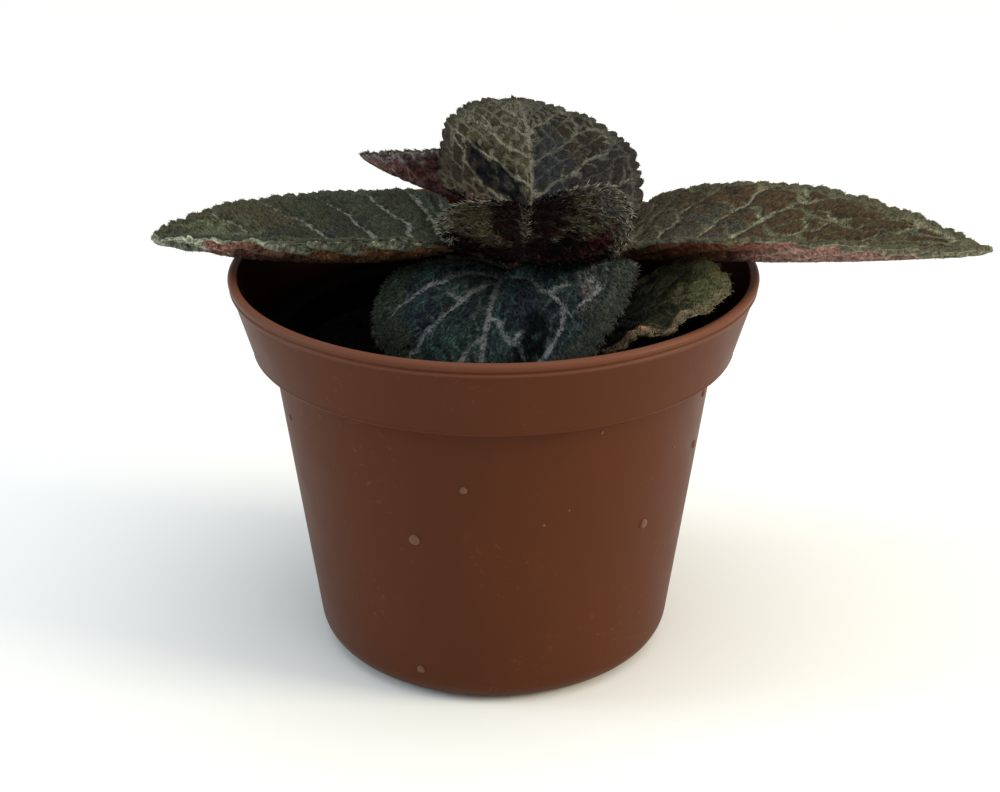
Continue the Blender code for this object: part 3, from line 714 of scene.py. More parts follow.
leaves = {
    "leafBackUpright": {
        "node": "leaf_back_upright", "ring": 3, "seed": 21,
        "length": 30.2, "halfWidth": 18.6, "base": (6.5, 4.0, 76.3), "heading": 86, "sweep": 17.5,
        "pitch": (40, 10.7), "roll": (3.3, 4.9), "foldLeft": (13.5, 14), "foldRight": (7.4, 3.2),
        "curlLeft": (26, 10), "shareLeft": 0.95, "lobe": 4.4, "baseFullness": 0.33, "lobeFill": (0.08, 0.06),
        "tipFullness": 0.74, "bends": ((6.1, 4.7, 71.6), (6.5, 4.5, 74.0)),
        "veinsLeft": (
            (0.2, 0.2, 0.18), (0.34, 0.345, 0.46), (0.47, 0.47, 0.46), (0.6, 0.59, 0.6, 0.55),
            (0.72, 0.7, 0.72, 0.5), (0.82, 0.81, 0.84),
        ),
        "veinsRight": (
            (0.2, 0.2, 0.2), (0.32, 0.33, 0.36), (0.43, 0.475, 0.5, 0.8), (0.585, 0.62, 0.7, 0.56),
            (0.735, 0.775, 0.8),
        ),
        "branches": (
            ((-0.52, 0.625), (-0.65, 0.64), (-0.8, 0.72), (-0.82, 0.79)),
            ((-0.55, 0.63), (-0.7, 0.64), (-0.86, 0.63), (-0.93, 0.6), (-0.87, 0.54), (-0.77, 0.49)),
            ((-0.88, 0.62), (-0.97, 0.58), (-1.0, 0.54)),
            ((0.5, 0.585), (0.56, 0.62), (0.66, 0.65), (0.8, 0.66)),
            ((0.56, 0.62), (0.73, 0.61), (0.85, 0.55)),
        ),
        "midribWidth": (0.9, 0.5), "veinWidth": (0.75, 0.5), "cellSize": 2.1, "cellLength": 2.6,
        "netWidth": 0.2, "netReach": 3.0, "toothLength": 2.2, "toothDepth": 1.1,
        "green": (0.040, 0.041, 0.027), "shade": (0.025, 0.025, 0.021), "patch": (0.017, 0.012, 0.010),
        "vein": (0.140, 0.136, 0.108), "edge": (0.036, 0.030, 0.023), "under": (0.10, 0.045, 0.040),
        "hair": (0.112, 0.108, 0.092), "patchAmount": 0.9, "netAmount": 0.55, "hairFloor": 0.3,
        "hairLength": 0.6, "edgeHairs": 6.0, "edgeHairLength": 0.35, "light": (0.68, 1.32),
        "zones": (
            # painted shade: the near-black crease in the left half
            (1, (0.355, 0.46), (0.04, 0.72), 1.0, 0.0, (0.0014, 0.002, 0.004)),
            (-1, (0.43, 0.7), (0.0, 0.45), 0.85, 0.3, (0.021, 0.024, 0.028)),
            (-1, (0.5, 0.8), (0.4, 0.9), 0.6, 0.5, (0.023, 0.017, 0.012)),
            (-1, (0.3, 0.5), (0.45, 1.2), 0.7, 0.6, (0.019, 0.017, 0.018)),
            (1, (0.1, 0.35), (-0.2, 1.2), 0.8, 0.45, (0.017, 0.012, 0.010)),
            (1, (0.5, 1.2), (-0.2, 1.2), 0.45, 0.8, (0.047, 0.051, 0.030)),
        ),
    },
    "leafFrontYoung": {
        "node": "leaf_front_young", "ring": 3, "seed": 22,
        "length": 23, "halfWidth": 18.2, "base": (5.7, 0.0, 78.0), "heading": -92,
        "pitch": (2.5, -7), "roll": (5, 1.2), "foldLeft": (27.5, -3), "foldRight": (25.6, 4),
        "curlLeft": (-30, -44), "curlRight": (-49, -7), "shareLeft": 0.95, "shareRight": 0.79,
        "bends": ((5.6, -0.7, 71.6), (5.6, -0.5, 75.0)), "stalkShade": 0.1,
        "midribWidth": (0.6, 0.2), "veinWidth": (0.5, 0.2), "cellSize": 1.5,
        "toothLength": 1.4, "toothDepth": 0.8,
        "green": (0.026, 0.025, 0.011), "shade": (0.014, 0.010, 0.006), "patch": (0.008, 0.003, 0.003),
        "vein": (0.045, 0.032, 0.027), "edge": (0.045, 0.040, 0.024), "under": (0.035, 0.012, 0.013),
        "zones": (
            # painted shade in the next four zones: the heart beside the midrib, the tip turned away, the
            # lower margin and the deepest hollow
            (0, (0.3, 0.8), (0.06, 0.45), 0.95, 0.12, (0.0034, 0.0010, 0.0012)),
            (0, (0.8, 1.2), (-0.2, 1.2), 1.0, 0.05, (0.0030, 0.0010, 0.0013)),
            (0, (0.64, 1.2), (0.72, 1.2), 0.95, 0.0, (0.004, 0.001, 0.0014)),
            (1, (0.7, 0.86), (0.5, 0.8), 1.0, 0.0, (0.0005, 0.0005, 0.0005)),
            (1, (0.58, 0.74), (0.76, 0.95), 0.75, 0.2, (0.015, 0.003, 0.0045)),
            (1, (0.05, 0.5), (0.7, 1.2), 0.5, 1.8, (0.045, 0.045, 0.042)),
            (-1, (0.45, 0.8), (0.45, 0.8), 0.6, 0.7, (0.021, 0.022, 0.010)),
            (-1, (0.05, 0.5), (0.8, 1.2), 0.4, 1.3, (0.040, 0.038, 0.030)),
        ),
        "hair": (0.28, 0.27, 0.22), "patchAmount": 0.9, "netAmount": 0.1, "pucker": 1.4, "edgeAmount": 0.1,
        "light": (0.4, 1.7), "lean": 1.5, "gloss": 0.01,
        "hairs": 2.0, "hairLength": 1.5, "hairWidth": 0.2, "rimHairs": 3.0, "edgeHairs": 7.0,
        "edgeHairLength": 1.3, "underHairs": 2.0,
    },
    "leafLeft": {
        "node": "leaf_left", "ring": 2, "seed": 23,
        "length": 52.7, "halfWidth": 20.2, "base": (-6.0, -1.5, 71.9), "heading": 176,
        "pitch": (-12, 13.5), "roll": (6.5, 4), "foldLeft": (22, 29), "foldRight": (22.5, 24),
        "shareLeft": 0.8, "bends": ((-0.5, 0.6, 68.4),),
        "veinsRight": (
            (0.2, 0.18, 0.18), (0.35, 0.295, 0.3), (0.385, 0.37, 0.41), (0.465, 0.46, 0.53, 0.8),
            (0.53, 0.58, 0.68), (0.66, 0.74, 0.82),
        ),
        "cellSize": 2.0, "cellLength": 4.2, "netReach": 0.9, "toothLength": 2.3, "toothDepth": 0.7,
        "tipTeeth": 0.5, "crumple": 0.75, "lobeFill": (0, 0.08), "hairFloor": 0.4, "hairLength": 0.6,
        "green": (0.036, 0.042, 0.027), "shade": (0.027, 0.030, 0.023), "patch": (0.040, 0.032, 0.017),
        "vein": (0.175, 0.187, 0.150), "edge": (0.076, 0.084, 0.052), "under": (0.430, 0.215, 0.092),
        "midribWidth": (0.84, 0.6), "veinWidth": (1.1, 0.5), "ribRadius": 0.5,
        "stalkShade": 0.08, "keelShade": 0.4,
        "bandColor": (0.330, 0.360, 0.265), "pinkFrom": (0.5, 0.72),
        "zones": (
            (-1, (0.6, 0.82), (0.5, 1.2), 0.6, 0.7, (0.060, 0.050, 0.029)),
            (-1, (0.83, 0.9), (0.6, 1.2), 0.7, 0.7, (0.060, 0.048, 0.028)),
            (-1, (0.77, 0.87), (0.15, 0.75), 0.8, 0.9, (0.092, 0.104, 0.064)),
            (-1, (0.9, 1.2), (-0.2, 1.2), 0.7, 0.6, (0.055, 0.053, 0.037)),
            (-1, (0.1, 0.85), (-0.2, 0.1), 0.6, 1.4, (0.120, 0.130, 0.100)),
        ),
        "underTip": (0.300, 0.140, 0.110),
        "bandFrom": (
            (0, 0.98), (0.1, 0.85), (0.25, 0.6), (0.36, 0.42), (0.5, 0.45), (0.6, 0.55), (0.68, 0.85),
            (0.77, 0.9), (0.82, 0.3), (0.87, -0.2),
        ),
        "hair": (0.15, 0.155, 0.115), "patchAmount": 0.3, "netAmount": 0.25, "pucker": 1.5,
        "light": (0.65, 1.35),
    },
    "leafRight": {
        "node": "leaf_right", "ring": 2, "seed": 24,
        "length": 61.5, "halfWidth": 21.6, "base": (22.5, -3.5, 71.7), "heading": 0.6,
        "pitch": (-3.7, 4.3), "roll": (-7.6, -2.2), "foldLeft": (18.7, 33), "foldRight": (22, 24),
        "shareRight": 0.81, "baseFullness": 0.53, "tipFullness": 0.98,
        "bends": ((13.5, 0.0, 68.6), (18.5, -2.4, 70.2)),
        "veinsLeft": (
            (0.22, 0.2, 0.22, 0), (0.325, 0.32, 0.36, 0.7), (0.375, 0.4, 0.46), (0.45, 0.475, 0.62),
            (0.5, 0.6, 0.82), (0.62, 0.735, 0.86), (0.78, 0.86, 0.95),
        ),
        "branches": (
            ((0.52, 0.48), (0.59, 0.46)), ((0.46, 0.57), (0.54, 0.56)), ((0.57, 0.62), (0.64, 0.6)),
            ((0.83, 0.54), (0.98, 0.52)), ((0.69, 0.78), (0.9, 0.77), (0.97, 0.79)),
            ((0.9, 0.77), (0.8, 0.81), (0.7, 0.87)),
        ),
        "cellSize": 4.2, "cellLength": 5.2, "toothLength": 2.6, "toothDepth": 0.7, "patchShare": (0.0, 0.3),
        "green": (0.080, 0.076, 0.044), "shade": (0.062, 0.058, 0.038), "patch": (0.049, 0.029, 0.017),
        "vein": (0.240, 0.232, 0.158), "edge": (0.100, 0.096, 0.060), "under": (0.172, 0.064, 0.038),
        "bandColor": (0.180, 0.180, 0.115), "underTip": (0.325, 0.185, 0.155), "pinkFrom": (0.38, 0.5),
        "bandFrom": ((0, 0.95), (0.3, 0.92), (0.5, 0.85), (0.65, 0.6), (0.8, 0.2), (0.9, -0.2)),
        "midribWidth": (0.72, 0.5), "veinWidth": (0.6, 0.5), "ribRadius": 0.45, "lobeFill": (0.08, 0),
        "hair": (0.17, 0.16, 0.12), "patchAmount": 0.85, "netWidth": 0.3, "netAmount": 0.3,
        "underLength": 0.4, "pucker": 1.3, "light": (0.68, 1.32), "hairFloor": 0.4, "hairLength": 0.6,
        "stalkShade": 0.5, "keelShade": 0.6,
        "zones": (
            (1, (0.28, 0.42), (0.1, 0.6), 0.75, 0.6, (0.042, 0.047, 0.040)),
            # painted shadow: the base darker where the upright back leaf shades it
            (1, (-0.2, 0.34), (-0.2, 1.2), 0.8, 0.45, (0.029, 0.026, 0.019)),
            (1, (0.3, 1.2), (-0.2, 0.18), 0.6, 0.8, (0.070, 0.072, 0.046)),
        ),
    },
    "leafBackLeft": {
        "node": "leaf_back_left", "ring": 1, "seed": 25,
        "length": 28.6, "halfWidth": 12, "base": (2.0, 24.0, 71.6), "heading": 163,
        "pitch": (0.8, 27.3), "roll": (34.6, 14.3), "foldLeft": (30, 30), "foldRight": (10, 20),
        "baseFullness": 0.46, "tipFullness": 0.85,
        "bends": ((2.6, 10.0, 66.4), (4.0, 18.0, 70.0), (4.6, 22.4, 71.0)),
        "green": (0.055, 0.060, 0.040), "shade": (0.040, 0.042, 0.030), "patch": (0.055, 0.035, 0.025),
        "vein": (0.13, 0.13, 0.09), "edge": (0.10, 0.085, 0.065), "under": (0.20, 0.088, 0.080),
        "underTip": (0.30, 0.150, 0.130),
        "hair": (0.16, 0.14, 0.11), "bandFrom": ((0, 1.2), (0.35, 1.2), (0.5, 0.85), (0.8, 0.6)),
        "bandColor": (0.330, 0.260, 0.250), "ribRadius": 0.4, "stalkShade": 0.3,
        "zones": ((0, (0.58, 1.2), (-0.2, 1.2), 0.75, 0.7, (0.125, 0.080, 0.064)),),
    },
    "leafLowerRight": {
        "node": "leaf_lower_right", "ring": 1, "seed": 26,
        "length": 24.2, "halfWidth": 14.7, "base": (16.5, -17.0, 61.9), "heading": -6,
        "pitch": (38.4, 10.5), "roll": (1.5, 4.5), "foldLeft": (1.7, 11.6), "foldRight": (0.5, 3.4),
        "curlRight": (10, 10), "shareLeft": 0.75, "shareRight": 1.03, "lobe": 4, "tipFullness": 0.5,
        "bends": ((11.8, -5.5, 62.0), (14.0, -12.5, 60.6)),
        "midribWidth": (0.54, 0.15), "veinWidth": (0.45, 0.15), "toothLength": 2.6, "toothDepth": 1.1,
        "ruffle": 3,
        "green": (0.027, 0.030, 0.015), "shade": (0.017, 0.018, 0.010), "patch": (0.027, 0.021, 0.010),
        "vein": (0.080, 0.080, 0.046), "edge": (0.130, 0.115, 0.060), "under": (0.12, 0.055, 0.038),
        "hair": (0.18, 0.165, 0.11), "light": (0.6, 1.4), "edgeAmount": 0.95, "edgeWidth": 2.8,
        "edgeHairLength": 1.0,
        "zones": (
            # painted shade in the next two zones: the base and the half beside the midrib, shaded by the
            # leaves beside it
            (0, (-0.2, 0.5), (-0.2, 1.2), 1.0, 0.1, (0.005, 0.007, 0.004)),
            (0, (0.4, 0.72), (-0.2, 0.45), 0.85, 0.2, (0.008, 0.011, 0.007)),
            (0, (0.78, 1.2), (-0.2, 1.2), 0.8, 1.0, (0.092, 0.097, 0.040)),
            (-1, (0.2, 0.95), (0.84, 1.2), 1.0, 1.3, (0.240, 0.140, 0.092)),
        ),
    },
    "leafFrontLow": {
        "node": "leaf_front_low", "ring": 0, "seed": 27,
        "length": 31, "halfWidth": 23.2, "base": (2.2, -9.0, 69.8), "heading": -102.8,
        "pitch": (13.3, -95), "roll": (0.8, 15), "foldLeft": (23.4, 0), "foldRight": (21.7, 0),
        "curlLeft": (-34, 19), "curlRight": (-62, -27), "lobe": 6.9,
        "baseFullness": 0.5, "tipFullness": 0.8, "shareRight": 0.95, "stalkShade": 0.15,
        "bends": ((4.8, -3.6, 63.0), (3.6, -6.6, 67.2)),
        "veinsLeft": (
            (0.25, 0.22, 0.22), (0.49, 0.545, 0.6, 0.66), (0.69, 0.735, 0.8), (0.84, 0.88, 0.92),
        ),
        "veinsRight": (
            (0.25, 0.22, 0.22, 0.6), (0.48, 0.45, 0.52, 0.75), (0.535, 0.63, 0.72), (0.735, 0.81, 0.87),
        ),
        "branches": (
            ((0.62, 0.555), (0.69, 0.59), (0.72, 0.65), (0.69, 0.72), (0.64, 0.8)),
            ((0.47, 0.54), (0.51, 0.5), (0.58, 0.48)), ((0.34, 0.72), (0.4, 0.68)),
            ((-0.23, 0.59), (-0.36, 0.54)), ((0.71, 0.41), (0.79, 0.43), (0.8, 0.47), (0.73, 0.53)),
        ),
        "midribWidth": (0.75, 0.75), "veinWidth": (0.9, 1.1), "branchWidth": 0.65, "hairFloor": 0.3,
        "cellSize": 2.4, "toothLength": 1.5, "toothDepth": 0.9, "pucker": 1.5,
        "green": (0.020, 0.039, 0.032), "shade": (0.010, 0.017, 0.017), "patch": (0.006, 0.008, 0.011),
        "vein": (0.165, 0.165, 0.165), "edge": (0.040, 0.044, 0.030), "under": (0.07, 0.030, 0.035),
        "hair": (0.19, 0.20, 0.172), "patchAmount": 0.85, "netAmount": 0.2, "edgeWidth": 3.0,
        "hairs": 2.0, "hairLength": 1.1, "hairWidth": 0.16, "veinHairs": 4.0, "rimHairs": 2.5,
        "edgeHairs": 8.0, "edgeHairLength": 1.2, "ragged": 0.25, "veinSoft": 0.25, "light": (0.4, 1.8),
        "zones": (
            # painted shade: the dark hollow between two side veins
            (1, (0.62, 0.78), (0.4, 0.68), 1.0, 0.0, (0.001, 0.002, 0.002)),
            (1, (0.55, 0.66), (0.1, 0.42), 0.8, 0.3, (0.008, 0.009, 0.014)),
            (-1, (0.54, 0.63), (0.5, 0.68), 0.8, 0.4, (0.009, 0.010, 0.016)),
            (-1, (0.15, 0.9), (0.72, 1.2), 0.8, 0.65, (0.020, 0.023, 0.014)),
            (1, (0.3, 0.9), (0.82, 1.2), 0.8, 0.45, (0.018, 0.020, 0.016)),
            (1, (0.4, 0.53), (0.70, 0.82), 0.65, 0.9, (0.085, 0.068, 0.062)),
            # painted light: the rows near the base made paler against the young front leaf's shadow
            (0, (-0.2, 0.3), (-0.2, 1.2), 0.7, 1.2, (0.034, 0.062, 0.052)),
        ),
    },
    "leafBackLow": {
        "node": "leaf_back_low", "ring": 0, "seed": 28,
        "length": 29, "halfWidth": 15, "base": (6.0, 11.0, 61.5), "heading": 88, "pitch": (12, -14),
        "foldLeft": (8, 8), "foldRight": (8, 8), "curlLeft": (-10, 0), "curlRight": (-10, 0),
        "baseFullness": 0.45, "tipFullness": 0.7, "bends": ((5.8, 8.0, 60.4),),
        "green": (0.020, 0.032, 0.024), "shade": (0.016, 0.022, 0.020), "patch": (0.020, 0.019, 0.020),
        "vein": (0.13, 0.14, 0.12), "edge": (0.045, 0.050, 0.035), "under": (0.08, 0.035, 0.035),
        "hair": (0.14, 0.14, 0.11), "netAmount": 0.15,
    },
}


def midribLine(leaf):
    # the midrib's course, with the directions beside it and up from it, in mm along the leaf
    along = np.linspace(-(leaf["lobe"] + 3), leaf["length"], leafRules["ribSteps"])
    share = np.clip(along / leaf["length"], 0, 1)
    pitch = np.radians(between(leaf["pitch"], share))
    heading = np.radians(leaf["heading"] + leaf["sweep"] * share)
    roll = np.radians(between(leaf["roll"], share))[:, None]
    flat = np.cos(pitch)
    forward = np.stack([flat * np.cos(heading), flat * np.sin(heading), np.sin(pitch)], -1)
    level = np.stack([-np.sin(heading), np.cos(heading), np.zeros(len(along))], -1)
    upright = np.cross(forward, level)
    path = np.zeros((len(along), 3))
    path[1:] = np.cumsum((forward[1:] + forward[:-1]) / 2 * (along[1] - along[0]), axis=0)
    path += np.array(leaf["base"]) - np.array([np.interp(0, along, path[:, axis]) for axis in range(3)])
    return {
        "along": along, "path": path,
        "side": level * np.cos(roll) + upright * np.sin(roll),
        "up": upright * np.cos(roll) - level * np.sin(roll),
    }


def alongMidrib(rib, key, along):
    # the path, side or up vector at so many mm along the midrib
    return np.stack([np.interp(along, rib["along"], rib[key][:, axis]) for axis in range(3)], -1)


def marginPlace(leaf, station, column):
    # margin point beside a station on the leaf pressed flat, in mm: (along the midrib, away from it)
    low = leaf["baseFullness"] - np.where(column >= 0, *leaf["lobeFill"])
    high = leaf["tipFullness"]
    peak = low / (low + high)
    top = peak**low * (1 - peak) ** high
    share = np.where(column >= 0, leaf["shareLeft"], leaf["shareRight"])
    inside = np.clip(station, 0, 1)
    across = leaf["halfWidth"] * share * inside**low * (1 - inside) ** high / top
    back = np.where(station < leafRules["lobeEnd"], np.sin(np.pi * station / leafRules["lobeEnd"]), 0)
    return leaf["length"] * station - leaf["lobe"] * back, across


def flatPlace(leaf, row, column):
    # where a blade point lies on the leaf pressed flat, in mm; column is -1 right to 1 left
    station = (row + (1 - np.cos(np.pi * row)) / 2) / 2
    edgeAlong, edgeAcross = marginPlace(leaf, station, column)
    foot = np.maximum(0, edgeAlong - leafRules["veinLean"] * edgeAcross)
    out = np.abs(column)
    return foot + (edgeAlong - foot) * out, edgeAcross * out


def bladePlace(leaf, rib, row, column):
    # the same point on the folded and curled blade, in mm
    left = column >= 0
    along, across = flatPlace(leaf, row, column)
    share = np.clip(along / leaf["length"], 0, 1)
    fold = np.where(left, between(leaf["foldLeft"], share), between(leaf["foldRight"], share))
    curl = np.where(left, between(leaf["curlLeft"], share), between(leaf["curlRight"], share))
    angle = np.radians(fold)
    bend = np.radians(curl) / leaf["halfWidth"]
    bend = np.where(np.abs(bend) < 1e-6, 1e-6, bend)
    level = (np.sin(angle + bend * across) - np.sin(angle)) / bend
    rise = (np.cos(angle) - np.cos(angle + bend * across)) / bend
    level = np.where(left, level, -level)[:, None]
    return (
        alongMidrib(rib, "path", along)
        + alongMidrib(rib, "side", along) * level
        + alongMidrib(rib, "up", along) * rise[:, None]
    )


def smooth(value, start, stop):
    # 0 below start, 1 above stop and an even slope between
    share = np.clip((value - start) / (stop - start), 0, 1)
    return share * share * (3 - 2 * share)


def scramble(*keys):
    # a repeatable number from 0 to 1 for each set of whole numbers
    mixed = sum(np.asarray(key) * factor for key, factor in zip(keys, (127.1, 311.7, 74.7, 219.3)))
    wave = np.sin(mixed) * 43758.5453
    return wave - np.floor(wave)


def ripples(flat, size, random, count=14):
    # a smooth wavy field over the flat leaf, about -1 to 1, with waves about so many mm long
    field = np.zeros(len(flat))
    for turn, stretch, start in random.random((count, 3)):
        angle = turn * 2 * math.pi
        length = size * (0.6 + 0.9 * stretch)
        reach = flat[:, 0] * math.cos(angle) + flat[:, 1] * math.sin(angle)
        field += np.sin(reach * 2 * math.pi / length + start * 2 * math.pi)
    return field / math.sqrt(count)


def wander(flat, random, waves):
    # several wavy fields in one: (strength, size) of each
    return sum(strength * ripples(flat, size, random) for strength, size in waves)


def veinRow(vein, out):
    # the row of a side vein so far out, on a curve through its three places
    start, middle, end = vein[:3]
    row = start * (1 - out) * (1 - 2 * out) + 4 * middle * out * (1 - out) + end * out * (2 * out - 1)
    return row + 0.005 * np.sin(out * 17 + start * 40)


def branchGap(leaf, flat, places):
    # mm on the flat leaf to one branch, its corners rounded
    columns, rows = np.array(places).T
    along, across = flatPlace(leaf, rows, columns)
    line = np.stack([along, across * np.sign(columns)], -1)
    for _ in range(2):
        cut = [pair for a, b in zip(line, line[1:]) for pair in (a * 0.75 + b * 0.25, a * 0.25 + b * 0.75)]
        line = np.array([line[0]] + cut + [line[-1]])
    gap = np.full(len(flat), 50.0)
    for start, end in zip(line, line[1:]):
        span = end - start
        share = np.clip((flat - start) @ span / (span @ span), 0, 1)
        gap = np.minimum(gap, np.linalg.norm(flat - start - share[:, None] * span, axis=-1))
    return gap


def bladePattern(leaf, row, column, random):
    # distances in mm, on the flat leaf, to the main veins, to the small net and to the margin
    along, across = flatPlace(leaf, row, column)
    side = np.where(column >= 0, 1.0, -1.0)
    flat = np.stack([along, across * side], -1)
    edgeAcross = flatPlace(leaf, row, side)[1]
    edgeGap = edgeAcross * (1 - np.abs(column))

    # size of one whole row and one whole column here, measured square to each other
    nudge = 1e-3
    nextRow = np.stack(flatPlace(leaf, row + nudge, column), -1) - np.stack([along, across], -1)
    nextOut = np.stack(flatPlace(leaf, row, column * (1 + nudge) + nudge * side), -1)
    nextOut -= np.stack([along, across], -1)
    nextRow, nextOut = nextRow / nudge, nextOut / (nudge * (1 + np.abs(column)))[:, None]
    area = np.abs(nextRow[:, 0] * nextOut[:, 1] - nextRow[:, 1] * nextOut[:, 0])
    perRow = area / np.maximum(np.linalg.norm(nextOut, axis=-1), 1e-6)
    perOut = area / np.maximum(np.linalg.norm(nextRow, axis=-1), 1e-6)

    # everything wanders a little, as in a grown leaf
    drift = wander(flat, random, leafRules["rowDrift"])
    row = np.clip(row + drift / np.maximum(perRow, 8), 0, 1)
    sway = wander(flat, random, leafRules["columnSway"])
    out = np.clip(np.abs(column) + sway / np.maximum(edgeAcross, 6), 0, 1)
    swell = wander(flat, random, leafRules["veinSwell"])

    wide, thin = leaf["veinWidth"]
    share = np.clip(along / leaf["length"], 0, 1)
    midrib = np.abs(flat[:, 1] + 0.12 * ripples(flat, 9, random)) - between(leaf["midribWidth"], share) / 2
    veinGap = midrib
    lateralGap = np.full(len(row), 50.0)
    wallGap = np.full(len(row), 50.0)
    tone = np.zeros(len(row))
    for sign, mark, veins in ((1, 3, leaf["veinsLeft"]), (-1, 7, leaf["veinsRight"])):
        here = side == sign
        bounds = [(0.02, 0.02, 0.02)] + list(veins) + [(0.98, 0.98, 0.98)]
        lines = [veinRow(vein, out) for vein in bounds]
        for vein, line in zip(veins, lines[1:-1]):
            width = between((wide * (1 - 0.4 * vein[0]), thin * 0.6), out**0.8)
            reach = vein[3] if len(vein) > 3 else 0.9
            gap = np.abs(row - line) * perRow - width / 2 + np.maximum(out - reach, 0) * 8
            lateralGap = np.where(here, np.minimum(lateralGap, gap), lateralGap)
        for index, (low, high) in enumerate(zip(lines, lines[1:])):
            inside = here & (row >= low) & (row < high)
            place = (row - low) / np.maximum(high - low, 1e-6)
            cells = max(3, round(leaf["halfWidth"] / leaf["cellLength"]))
            run = out * cells + scramble(index, mark, leaf["seed"]) + 0.25 * np.sin(place * 5 + index)
            number = np.floor(run)
            middle = np.clip((number + 0.5 - scramble(index, mark, leaf["seed"])) / cells, 0, 1)
            width = veinRow(bounds[index + 1], middle) - veinRow(bounds[index], middle)
            lanes = np.maximum(1, np.round(width * leaf["length"] * 0.9 / leaf["cellSize"]))
            lane = np.floor(place * lanes)
            toWall = np.minimum(run - number, number + 1 - run)
            toLane = np.minimum(place * lanes - lane, lane + 1 - place * lanes)
            laneSize = (high - low) * perRow / lanes
            gap = np.minimum(np.maximum(toWall, 0) * perOut / cells, toLane * laneSize)
            wallGap = np.where(inside, gap, wallGap)
            tone = np.where(inside, scramble(index + lane * 31, number + 5, mark + 2, leaf["seed"]), tone)
    swayed = np.stack([ripples(flat, 4, random), ripples(flat, 4, random)], -1) * leafRules["branchSway"]
    swayed = flat + swayed
    for places in leaf["branches"]:
        lateralGap = np.minimum(lateralGap, branchGap(leaf, swayed, places) - leaf["branchWidth"] / 2)
    veinGap = np.minimum(midrib, lateralGap)
    # the rim vein joins the side veins a little inside the margin
    inset, stray, half = leafRules["rimVein"]
    rim = np.abs(edgeGap - inset - stray * ripples(flat, 3, random)) - half
    wallGap = np.minimum(wallGap, rim)
    nearVein = np.exp(-np.maximum(veinGap, 0) / leaf["netReach"])
    netGap = wallGap - leaf["netWidth"] * (0.35 + nearVein) - 0.4 * swell
    return {
        "flat": flat, "edgeGap": edgeGap, "veinGap": veinGap - swell, "netGap": netGap,
        "cellTone": tone, "netStrength": 0.35 + 0.65 * nearVein,
    }


